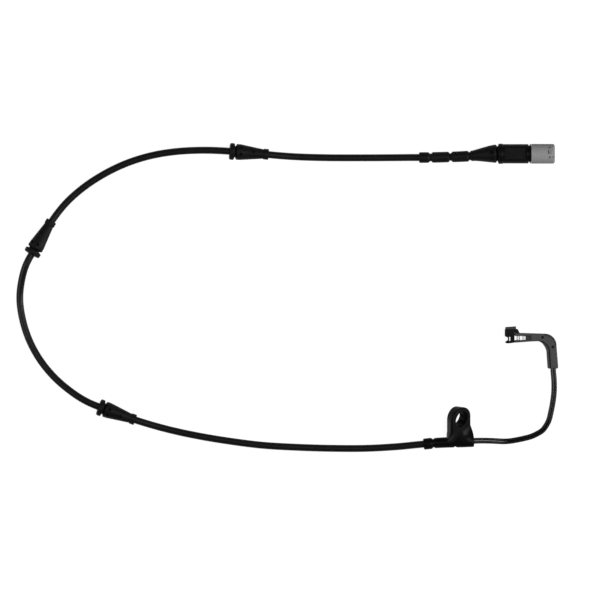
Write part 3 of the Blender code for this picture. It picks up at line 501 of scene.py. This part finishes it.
def box_outline(x0, x1, y0, y1):
    return [(x0, y0), (x1, y0), (x1, y1), (x0, y1)]


def pin_frame(origin, axis):
    """A frame at a point whose +X runs along an axis."""
    x = Vector(axis).normalized()
    side = Vector((0, 0, 1)) if abs(x.z) < 0.9 else Vector((0, 1, 0))
    y = side.cross(x).normalized()
    made = Matrix((x, y, x.cross(y))).transposed().to_4x4()
    made.translation = origin
    return made


def bent_axis(route):
    points = smooth_curve(route, 0.25)
    along = np.concatenate([[0], np.cumsum(np.linalg.norm(np.diff(points, axis=0), axis=1))])
    slopes = np.gradient(points, along, axis=0)

    def frame_at(distance):
        origin = [np.interp(distance, along, points[:, axis]) for axis in range(3)]
        slope = [np.interp(distance, along, slopes[:, axis]) for axis in range(3)]
        return pin_frame(plan(*origin), slope)

    return frame_at, float(along[-1])


def bake(obj, edit=None):
    """Turns an object's modifiers and place into its mesh."""
    bpy.context.view_layer.update()
    graph = bpy.context.evaluated_depsgraph_get()
    mesh = bpy.data.meshes.new_from_object(obj.evaluated_get(graph))
    mesh.transform(obj.matrix_world)
    obj.modifiers.clear()
    obj.matrix_world = Matrix.Identity(4)
    obj.data = mesh
    return obj


def combine(obj, helpers, operation):
    """Boolean of obj with each helper, done at once; the helpers are removed."""
    for helper in helpers:
        modifier = obj.modifiers.new(operation, "BOOLEAN")
        modifier.operation = operation
        modifier.object = helper
        modifier.solver = "EXACT"
    bake(obj)
    for helper in helpers:
        bpy.data.objects.remove(helper, do_unlink=True)
    return obj


def rounded(obj, width, segments=4):
    modifier = obj.modifiers.new("rounded", "BEVEL")
    modifier.width = mm(width)
    modifier.segments = segments
    modifier.limit_method = "ANGLE"
    modifier.angle_limit = math.radians(55)
    bake(obj)


def sharpen(obj, angle=38):
    obj.data.shade_smooth()
    obj.data.set_sharp_from_angle(angle=math.radians(angle))
    return obj


def moulded(obj, voxel, rounds, swell=0.0, factor=0.5):
    """Remakes a piece with the small soft edges that a moulding has; swell makes up what they take."""
    look = obj.data.materials[0] if obj.data.materials else None
    remesh = obj.modifiers.new("remesh", "REMESH")
    remesh.mode = "VOXEL"
    remesh.voxel_size = mm(voxel)
    remesh.use_smooth_shade = True
    soft = obj.modifiers.new("soft", "SMOOTH")
    soft.factor = factor
    soft.iterations = rounds
    if swell:
        out = obj.modifiers.new("swell", "DISPLACE")
        out.strength = mm(swell)
        out.mid_level = 0
    bake(obj)
    obj.data.shade_smooth()
    if look and not obj.data.materials:
        obj.data.materials.append(look)
    return obj


def hole(name, at, radius, depth, sides=32, lead=1.0):
    """A cutter for a round hole with a slightly domed floor."""
    profile = [(-lead, 0), (-lead, radius), (depth - 0.35 * radius, radius), (depth, 0.55 * radius), (depth, 0)]
    return turned(name, profile, place=at, sides=sides)


def show(obj, slot, *nodes):
    """Puts a finished piece in place of the CAD nodes that it stands for."""
    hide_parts(*nodes)
    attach(obj, "root")


# ---------------------------------------------------------------- cords

def make_tube(name, points, radius, look):
    curve = bpy.data.curves.new(name, "CURVE")
    curve.dimensions = "3D"
    curve.bevel_depth = mm(radius)
    curve.bevel_resolution = 8
    curve.use_fill_caps = True
    spline = curve.splines.new("POLY")
    spline.points.add(len(points) - 1)
    for point, place in zip(spline.points, points):
        point.co = (*place, 1.0)
    spline.use_smooth = True
    curve.materials.append(look)
    obj = bpy.data.objects.new(name, curve)
    bpy.context.scene.collection.objects.link(obj)
    return obj


def make_cords(looks):
    points = [plan(*point) for point in smooth_curve(SHEATH_ROUTE, 2.5)]
    sheath = make_tube("sheath", points, JACKET_RADIUS, looks["jacket"])
    show(sheath, "jacket", "lead_sheath")
    middle = smooth_curve(WIRE_ROUTE, 1.0)
    slopes = np.gradient(middle, axis=0)
    sideways = np.column_stack([-slopes[:, 1], slopes[:, 0]])
    sideways /= np.linalg.norm(sideways, axis=1)[:, None]
    along = np.concatenate([[0], np.cumsum(np.linalg.norm(np.diff(middle, axis=0), axis=1))])
    apart = WIRE_RADIUS + np.interp(along, *zip(*WIRE_GAPS)) / 2
    for name, node, side in (("wire_a", "wire_inner", 1), ("wire_b", "wire_outer", -1)):
        line = middle.copy()
        line[:, :2] += side * apart[:, None] * sideways
        points = [plan(*point) for point in line]
        wire = make_tube(name, points, WIRE_RADIUS, looks["wire"])
        show(wire, "wire_insulation", node)


# ---------------------------------------------------------------- grommets

def make_grommets(look):
    """Flange, V-shaped neck, cone and collar, with the small holes where pins held them in the mould."""
    bore = 2.35
    profile = filleted([
        (0.0, bore), (0.0, 5.5, 1.2), (2.85, 5.5, 0.9), (3.45, 3.6, 0.2), (3.75, 3.6, 0.2), (4.6, 5.18, 0.4),
        (7.2, 5.12, 2.0), (14.0, 4.18, 4.0), (21.4, 3.18, 0.5), (22.1, 3.1, 0.2), (22.35, 3.52, 0.25),
        (25.4, 3.52, 0.45), (25.4, 2.9, 0.2), (24.9, bore),
    ], 6)
    profile = with_stops(profile, 1.5)
    for name, (x, y, heading) in GROMMETS.items():
        place = (Matrix.Translation(plan(x, y, GROMMET_AXIS_HEIGHT)) @ Matrix.Rotation(heading, 4, "Z")
                 @ Matrix.Rotation(GROMMET_PITCH, 4, "Y") @ Matrix.Rotation(GROMMET_ROLLS[name], 4, "X"))
        body = turned(f"{name}_soft", profile, look, place, sides=128, ridge=0.07)
        holes = []
        for number, (distance, angle) in enumerate((
                (7.2, 65), (7.2, 115), (7.2, 245), (7.2, 295), (15.3, 90), (15.3, 270))):
            radius = np.interp(distance, [7.2, 14.0, 21.4], [5.12, 4.18, 3.18])
            at = place @ Matrix.Rotation(math.radians(angle), 4, "X") @ pin_frame(
                (mm(distance), mm(radius), 0), (0, -1, 0))
            holes.append(hole(f"dimple{number}", at, 0.95, 0.35 * radius, 24))
        combine(body, holes, "DIFFERENCE")
        sharpen(body, 42)
        show(body, "moulded_rubber", name)


# ---------------------------------------------------------------- connector

def grooved(start, end, radius, groove, round_off=0.45):
    """A segment of a grooved boot and the groove after it, as points to round."""
    return [(start, groove, 0.25), (start, radius, round_off), (end, radius, round_off), (end, groove, 0.25)]


def make_connector_boot(look):
    end = HOUSING_START + 0.3
    axis, length = bent_axis([
        (BOOT_START, 89.96, 3.6), (88.4, 90.05, 3.6), (100.1, 90.35, 3.7), (108.0, 90.65, 3.95),
        (113.1, 90.95, 4.4), (120.4, 91.75, 5.55), (end - 3.1, CONNECTOR_Y, CONNECTOR_AXIS_HEIGHT),
        (end, CONNECTOR_Y, CONNECTOR_AXIS_HEIGHT),
    ])
    profile = filleted([
        (5.5, 0), (5.5, 2.35), (0.0, 2.35, 0.2), (0.0, 2.9, 0.2), (0.55, 3.45, 0.4), (6.0, 3.45, 0.5),
        (7.2, 2.45, 0.3), (8.0, 2.45, 0.3), (8.9, 3.42, 0.5), (19.1, 3.42, 0.5), (20.0, 2.3, 0.3),
        (20.7, 2.3, 0.3), (21.9, 3.42, 0.6), (31.7, 3.5, 0.5), (32.6, 2.6, 0.3), (33.3, 2.65, 0.3),
        (34.1, 3.3, 0.4), (36.5, 3.52, 2.0), (40.5, 4.3, 3.0), (45.8, 5.32, 3.0), (length - 2.1, 5.95, 0.3),
        (length - 0.7, 4.5, 0.1), (length, 4.4), (length, 0),
    ], 6)
    boot = turned("boot_soft", profile, look, sides=128, frame_at=axis, ridge=0.06, stops=1.2)
    holes = []
    for number, side in enumerate((1.0, -3.1)):
        at = axis(47.9) @ pin_frame((0, mm(side), mm(5.7)), (0, 0, -1))
        holes.append(hole(f"dimple{number}", at, 1.05, 2.4, 24))
    combine(boot, holes, "DIFFERENCE")
    bars = []
    for number, distance in enumerate((13.3, 14.5)):
        at = axis(distance) @ Matrix.Translation((0, 0, mm(3.1)))
        bars.append(extruded(f"bar{number}", box_outline(-0.22, 0.22, -1.1, 1.1), 0, 0.55, place=at))
    combine(boot, bars, "UNION")
    sharpen(boot, 42)
    show(boot, "moulded_rubber", "connector_boot")


def connector_frame(x):
    return Matrix.Translation(plan(x, CONNECTOR_Y, CONNECTOR_AXIS_HEIGHT))


def make_connector_housing(look):
    start = HOUSING_START
    body_end = SEAL_GROOVE_START - start
    shoulder = SEAL_GROOVE_END - start
    last = SHOULDER_END - start
    profile = filleted([
        (-0.5, 0), (-0.5, 4.5, 0.1), (0.05, 6.1, 0.3), (0.4, 6.55, 0.4), (2.75, 6.55, 0.45), (3.15, 6.2, 0.3),
        (3.6, HOUSING_RADIUS, 0.3), (body_end, HOUSING_RADIUS, 0.22), (body_end, 5.0), (shoulder, 5.0),
        (shoulder, HOUSING_RADIUS, 0.18), (last, HOUSING_RADIUS, 0.12), (last, 4.7), (last + 3.2, 4.7), (last + 3.2, 0),
    ], 5)
    housing = turned("housing_soft", profile, look, connector_frame(start), sides=128, ridge=0.05, stops=2.0)
    cutters = []
    for name, low, high in (("top", 4.97, 9.0), ("bottom", -9.0, -4.97)):
        cutters.append(extruded(name, box_outline(4.25, body_end - 1.3, -3.7, 3.7), low, high, place=connector_frame(start)))
    for name, low, high in (("top groove", 4.0, 9.0), ("bottom groove", -9.0, -4.0)):
        cutters.append(extruded(name, box_outline(body_end - 2.05, body_end - 1.2, -3.6, 3.6), low, high,
                                place=connector_frame(start)))
    combine(housing, cutters, "DIFFERENCE")
    sharpen(housing, 38)
    show(housing, "black_plastic", "connector_housing")


def make_seal(look):
    width = SEAL_GROOVE_END - SEAL_GROOVE_START - 0.3
    profile = filleted([(0, 5.4), (0, 5.15, 0.1), (width, 5.15, 0.1), (width, 5.65, 0.3), (0, 5.65, 0.3), (0, 5.4)], 4)[:-1]
    seal = turned("seal_soft", profile, look, connector_frame(SEAL_GROOVE_START + 0.15), sides=96)
    show(seal, "moulded_rubber", "interface_seal")


def make_sleeve(look):
    start = SHOULDER_END + 0.15
    length = SLEEVE_END - start
    at = connector_frame(start)
    profile = filleted([
        (1.0, 4.95), (0, 4.95, 0.1), (0, 6.4, 0.15), (length - 0.85, 6.4, 0.4), (length, 5.45, 0.3),
        (length, 4.95, 0.2), (1.0, 4.95),
    ], 6)[:-1]
    sleeve = turned("sleeve_soft", with_stops(profile, 1.5), look, at, sides=160)
    cutters = []
    for number, (back, across) in enumerate(((3.55, 4.2), (3.4, -2.1))):
        lift = math.sqrt(6.4 ** 2 - across ** 2)
        out = Vector((0, across, lift)).normalized()
        cutters.append(hole(f"mark{number}", at @ pin_frame((mm(length - back), mm(across), mm(lift)), -out), 0.72, 2.0, 24))
    cutters.append(extruded("bar", box_outline(length - 4.7, length - 3.8, -0.05, 2.4), 4.96, 9.0, place=at))
    cutters.append(extruded("shallow seat", box_outline(length - 3.9, length - 2.4, 0.05, 2.3), 5.7, 8.0, place=at))
    cutters.append(extruded("key", box_outline(length - 1.6, length + 1.0, -2.7, -1.5), 3.0, 9.0, place=at))
    combine(sleeve, cutters, "DIFFERENCE")
    sharpen(sleeve, 38)
    show(sleeve, "grey_plastic", "connector_sleeve")


def make_contacts(carrier_look, pin_look):
    start = SHOULDER_END + 3.2 + 0.3
    profile = filleted([(0, 0), (0, 4.8), (4.0, 4.8, 0.3), (4.0, 0)], 4)
    carrier = turned("carrier_soft", profile, carrier_look, connector_frame(start), sides=96)
    cutters = []
    for number, side in enumerate((2.0, -2.0)):
        at = connector_frame(start) @ Matrix.Translation((0, mm(side), 0))
        cutters.append(turned(f"seat{number}", [(-1, 0), (-1, 0.85), (6, 0.85), (6, 0)], place=at, sides=32))
    cutters.append(extruded("keyway", box_outline(1.5, 6, -0.5, 0.5), 3.4, 6, place=connector_frame(start)))
    combine(carrier, cutters, "DIFFERENCE")
    sharpen(carrier, 38)
    show(carrier, "black_plastic", "contact_carrier")
    for node, side in (("contact_pin_left", 2.0), ("contact_pin_right", -2.0)):
        at = connector_frame(start) @ Matrix.Translation((0, mm(side), 0))
        reach = SLEEVE_END - 4.7 - start
        profile = filleted([(0.3, 0), (0.3, 0.75), (reach - 0.8, 0.75, 0.3), (reach, 0.35, 0.3), (reach, 0)], 5)
        pin = turned(f"{node}_soft", profile, pin_look, at, sides=48)
        show(pin, "contact_metal", node)


# ---------------------------------------------------------------- holder

def ear_section(height, reach):
    share = min(1.0, height / (reach - EAR_TWIST_END))
    turn = Matrix.Rotation(share * share * (3 - 2 * share) * EAR_TWIST, 3, EAR_UP)
    foot = (1 - share) ** 2
    middle = EAR_CENTRE - (reach - height) * EAR_UP + (1 - share) * Vector((EAR_FOOT_SHIFT, 0, 0))
    front = EAR_FRONT_RADIUS + foot * (EAR_FOOT_HALF_WIDTH - EAR_FRONT_RADIUS)
    back = EAR_BACK_RADIUS + (1 - share) * (EAR_FOOT_HALF_WIDTH - EAR_BACK_RADIUS)
    thick = EAR_THICKNESS / 2 + (1 - share) * (EAR_FOOT_HALF_THICKNESS - EAR_THICKNESS / 2)
    return middle, turn @ Vector((1, 0, 0)), turn @ Vector((1, 0, 0)).cross(EAR_UP), front, back, thick


def ear_ring(section, angle=0.0):
    """The ear's outline at a height, with rounded edges; an angle carries it up the arch."""
    middle, width_way, normal, front, back, thick = section
    right = filleted([(0, -thick), (back, -thick, 0.75), (front, thick, 0.75), (0, thick)], 4)[1:-1]
    corners = [(1, *corner) for corner in right] + [(-1, *corner) for corner in reversed(right)]
    across, up = math.cos(angle), math.sin(angle)
    ring = []
    for side, radius, depth in corners:
        share = 0.5 + depth / (2 * thick)
        rise = EAR_BACK_RISE + share * (EAR_FRONT_RISE - EAR_BACK_RISE)
        ring.append(middle + side * radius * across * width_way + depth * normal + radius * up * rise * EAR_UP)
    return ring


def ear_solid():
    reach = (EAR_CENTRE.z - HOLDER_AXIS_HEIGHT) / EAR_UP.z
    rings = [ear_ring(ear_section(float(height), reach)) for height in np.linspace(0, reach, 40)]
    top = ear_section(reach, reach)
    rings += [ear_ring(top, math.radians(angle)) for angle in range(3, 93, 3)]
    bm = bmesh.new()
    made = [[bm.verts.new(plan(*point)) for point in ring] for ring in rings]
    count = len(made[0])
    for first, second in zip(made, made[1:]):
        for k in range(count):
            bm.faces.new([first[k], first[(k + 1) % count], second[(k + 1) % count], second[k]])
    bm.faces.new(made[0])
    bmesh.ops.remove_doubles(bm, verts=bm.verts, dist=mm(0.001))
    return object_from("ear", bm)


def make_holder(look):
    x, y = HOLDER_START
    axis, length = bent_axis([
        (x, y, HOLDER_AXIS_HEIGHT), (x + 6.2, y + 0.65, HOLDER_AXIS_HEIGHT),
        (x + 15.3, y + 1.15, HOLDER_AXIS_HEIGHT), (x + 32.7, y + 1.4, HOLDER_AXIS_HEIGHT),
    ])
    profile = filleted([
        (5.0, 0), (5.0, 2.35), (0, 2.35, 0.2), (0, 3.1, 0.2), (0.4, 3.52, 0.4), (5.3, 3.52, 0.5),
        (6.1, 2.5, 0.3), (6.7, 2.5, 0.3), (7.5, 3.25, 0.5), (13.0, 3.28, 1.0), (24.0, 3.28, 2.0),
        (length, 3.05, 0.3), (length, 0),
    ], 6)
    holder = turned("holder_soft", profile, look, sides=96, frame_at=axis, stops=1.0)
    combine(holder, [ear_solid()], "UNION")
    moulded(holder, 0.2, 22, 0.16)
    at = pin_frame(plan(*EAR_CENTRE + Vector((0.4, 0, 0))), EAR_NORMAL)
    half = EAR_THICKNESS / 2
    cutter = turned("ear hole", filleted([
        (-3 * half, 0), (-3 * half, 7.0), (-half - 0.45, 4.7 + 0.6, 0.2), (-half + 0.4, 4.7, 0.5),
        (half - 0.4, 5.2, 0.5), (half + 0.45, 5.2 + 0.6, 0.2), (3 * half, 8.0), (3 * half, 0)], 5), place=at, sides=96)
    notch = Matrix.Translation(plan(103.5, -98.7, 0)) @ Matrix.Rotation(math.radians(-90), 4, "Y")
    cutters = [cutter, hole("notch", notch, 0.9, 9.0)]
    start, towards = (plan(*point) for point in WIRE_ROUTE[:2])
    for name, side in (("a", 1), ("b", -1)):
        offset = Vector((0, mm(side * (WIRE_RADIUS + WIRE_GAP / 2)), 0))
        cutters.append(turned(f"socket {name}", [(-0.3, 0), (-0.3, 0.95), (9, 0.95), (9, 0)],
                              place=pin_frame(start + offset, towards - start), sides=32))
    combine(holder, cutters, "DIFFERENCE")
    moulded(holder, 0.2, 4)
    show(holder, "moulded_rubber", "lead_holder")


# ---------------------------------------------------------------- sensor head

def head_frame():
    return Matrix.Translation(plan(*HEAD_ORIGIN, 0))


def head_outline():
    bend_centre = (-5.3, 15.1)
    top = bend_centre[1] + HEAD_BEND_RADIUS
    return (
        arc((2.35, 1.1), 1.1, -90, 0, 8)
        + [(2.9, 8.0)]
        + arc(bend_centre, HEAD_BEND_RADIUS, 0, 90, 32)
        + [(-21.35, 23.2), (JAW_END, 23.2), (JAW_END, SLOT_TOP), (SLOT_END - 0.4, SLOT_TOP),
           (SLOT_END, SLOT_TOP - 0.4), (SLOT_END, SLOT_BOTTOM + 0.4), (SLOT_END - 0.4, SLOT_BOTTOM),
           (JAW_END, SLOT_BOTTOM), (JAW_END, 16.85), (-20.05, 17.2), (-14.85, 17.6)]
        + bezier((-9.98, top - 4.9), (-7.2, top - 4.85), (-4.9, 14.4), (-4.2, 11.4), 24)
        + [(-3.5, 1.3)]
        + arc((-2.4, 1.1), 1.1, 180, 270, 8)
    )


def make_head(look):
    at = head_frame()
    head = extruded("head_soft", head_outline(), 0, HEAD_THICKNESS, look, at)
    rounded(head, 0.6)
    ledge = (
        bezier((-9.4, 18.0), (-5.2, 17.8), (-2.7, 15.0), (-2.3, 11.4), 28)
        + [(-1.5, -1.0), (-8.0, -1.0), (-8.0, 10.0), (-10.5, 15.5)]
    )
    cutters = [
        extruded("ledge", ledge, HEAD_THICKNESS - 0.9, 8, place=at),
        extruded("pocket", box_outline(SLOT_END - 0.6, SLOT_END + 3.6, SLOT_BOTTOM - 0.1, SLOT_TOP + 0.25),
                 HEAD_THICKNESS - 2.6, 8, place=at),
    ]
    for number, (x, y) in enumerate(((-6.8, 20.4), (-0.16, 14.1))):
        cutters.append(hole(f"dimple{number}", at @ pin_frame((mm(x), mm(y), mm(HEAD_THICKNESS)), (0, 0, -1)), 0.86, 3.6))
    # The mould's joint shows as a fine groove inside the outer bend and along the ledge
    centre = (-5.3, 15.1)
    rim = arc(centre, HEAD_BEND_RADIUS - 0.75, -4, 96, 40) + arc(centre, HEAD_BEND_RADIUS - 1.2, 96, -4, 40)
    cutters.append(extruded("rim groove", rim, HEAD_THICKNESS - 0.6, 8, place=at))
    step = (
        bezier((-9.8, 18.25), (-4.9, 18.1), (-2.3, 15.0), (-1.95, 11.4), 28)
        + [(-1.15, -1.0), (-1.65, -1.0)]
        + bezier((-2.45, 11.4), (-2.85, 14.9), (-5.3, 17.6), (-9.5, 17.75), 28)
    )
    cutters.append(extruded("ledge groove", step, HEAD_THICKNESS - 1.7, 8, place=at))
    for name, x0, x1, y0, y1, z0, z1 in (
            ("loop seat above", -23.6, -21.2, SLOT_TOP - 0.5, SLOT_TOP + 0.95, 1.9, 3.1),
            ("loop seat below", -23.6, -21.2, SLOT_BOTTOM - 0.7, SLOT_BOTTOM + 0.5, 1.9, 3.1),
            ("spring seat above", -20.05, -18.25, SLOT_TOP - 0.5, SLOT_TOP + 0.5, 1.2, 2.4),
            ("spring seat below", -20.05, -18.25, SLOT_BOTTOM - 0.5, SLOT_BOTTOM + 0.5, 1.2, 2.4)):
        cutters.append(extruded(name, box_outline(x0, x1, y0, y1), z0, z1, place=at))
    combine(head, cutters, "DIFFERENCE")
    tongues = [extruded(name, box_outline(JAW_END - 1.9, JAW_END + 0.6, y0, y1), 1.5, 3.5, place=at)
               for name, y0, y1 in (("upper", 21.6, 22.8), ("lower", 17.3, 18.3))]
    combine(head, tongues, "UNION")
    moulded(head, 0.14, 5, 0.03)
    sockets = []
    for side in (1, -1):
        x = side * (WIRE_RADIUS + WIRE_GAP / 2)
        sockets.append(hole(f"socket{side}", at @ pin_frame((mm(x), 0, mm(2.5)), (0, 1, 0)), 0.95, 5.2))
    combine(head, sockets, "DIFFERENCE")
    sharpen(head, 50)
    show(head, "charcoal_plastic", "sensor_housing")


def make_tip(look, plate_look):
    at = head_frame()
    leg = JAW_END - 0.15
    outline = [
        (leg, 16.85), (leg, 23.15), (-21.6, 23.15), (-22.75, 25.45), (-23.2, 25.8),
        (-31.2, 25.75), (-31.3, 22.0), (-31.1, 21.0), (-30.2, 20.6), (-29.45, 20.35), (-29.2, 19.4),
        (-29.4, 18.4), (-30.1, 18.05), (-30.9, 17.5), (-30.85, 16.75), (-29.6, 16.4), (-28.4, 16.45),
    ]
    tip = extruded("tip_soft", outline, 0, 5.5, look, at)
    combine(tip, [extruded("plate", [(-30.9, 25.5), (-24.0, 25.5), (-24.0, 27.5), (-30.9, 27.0)], 0, 6.1, place=at)], "UNION")
    cutters = [extruded("window", [(-28.6, 18.1), (-27.65, 18.1), (-27.65, 20.65), (-28.6, 20.55), (-28.35, 19.4)], -1, 8, place=at)]
    for name, y0, y1 in (("upper", 21.6, 22.8), ("lower", 17.3, 18.3)):
        cutters.append(extruded(name, box_outline(JAW_END - 2.05, JAW_END + 0.6, y0 - 0.15, y1 + 0.15), 1.35, 3.65, place=at))
    combine(tip, cutters, "DIFFERENCE")
    moulded(tip, 0.1, 6, 0.03)
    tip.data.materials.append(plate_look)
    edge = (at @ Vector((0, mm(25.5), 0))).y
    for face in tip.data.polygons:
        if face.center.y > edge:
            face.material_index = 1
    show(tip, "black_plastic", "wear_tip")


def make_loop_and_spring(metal, steel):
    at = head_frame()
    left, right, foot = -23.2, -21.85, SLOT_BOTTOM - 0.4
    top = SLOT_TOP + 0.33
    points = smooth_curve([
        (left, foot, 2.5), (left, 19.4, 2.52), (left - 0.03, 20.5, 2.5), (left + 0.06, top - 0.1, 2.48), (left + 0.36, top + 0.25, 2.5),
        (right - 0.36, top + 0.25, 2.5), (right - 0.06, top - 0.1, 2.52), (right + 0.03, 20.5, 2.5), (right, 19.4, 2.48), (right, foot, 2.5),
    ], 0.15)
    loop = make_tube("loop_soft", [at @ Vector([mm(c) for c in p]) for p in points], 0.33, metal)
    show(loop, "contact_metal", "contact_loop")
    low, high = SLOT_BOTTOM - 0.35, SLOT_TOP + 0.35
    count = 61
    bm = bmesh.new()
    columns = []
    for k in range(count):
        y = low + (high - low) * k / (count - 1)
        z = 1.65 + 0.18 * math.sin(6 * math.pi * k / (count - 1))
        columns.append([bm.verts.new((mm(x), mm(y), mm(z + lift))) for x, lift in (
            (-19.9, 0.05), (-19.85, 0), (-18.45, 0), (-18.4, 0.05), (-18.4, 0.25), (-18.45, 0.3), (-19.85, 0.3), (-19.9, 0.25))])
    for first, second in zip(columns, columns[1:]):
        for k in range(8):
            bm.faces.new([first[k], first[(k + 1) % 8], second[(k + 1) % 8], second[k]])
    bm.faces.new(columns[0])
    bm.faces.new(columns[-1])
    spring = object_from("spring_soft", bm, steel, at)
    show(spring, "spring_steel", "spring_plate")


def main():
    bpy.context.scene.view_settings.view_transform = "Standard"
    make_camera()
    looks = make_looks()
    make_cords(looks)
    make_floor()
    make_world()
    make_lights()
    make_grommets(looks["rubber"])
    make_connector_boot(looks["rubber"])
    make_connector_housing(looks["black"])
    make_seal(looks["rubber"])
    make_sleeve(looks["grey"])
    make_contacts(looks["black"], looks["metal"])
    make_holder(looks["holder"])
    make_head(looks["charcoal"])
    make_tip(looks["black"], looks["plate"])
    make_loop_and_spring(looks["loop"], looks["steel"])
    bpy.context.view_layer.update()


main()
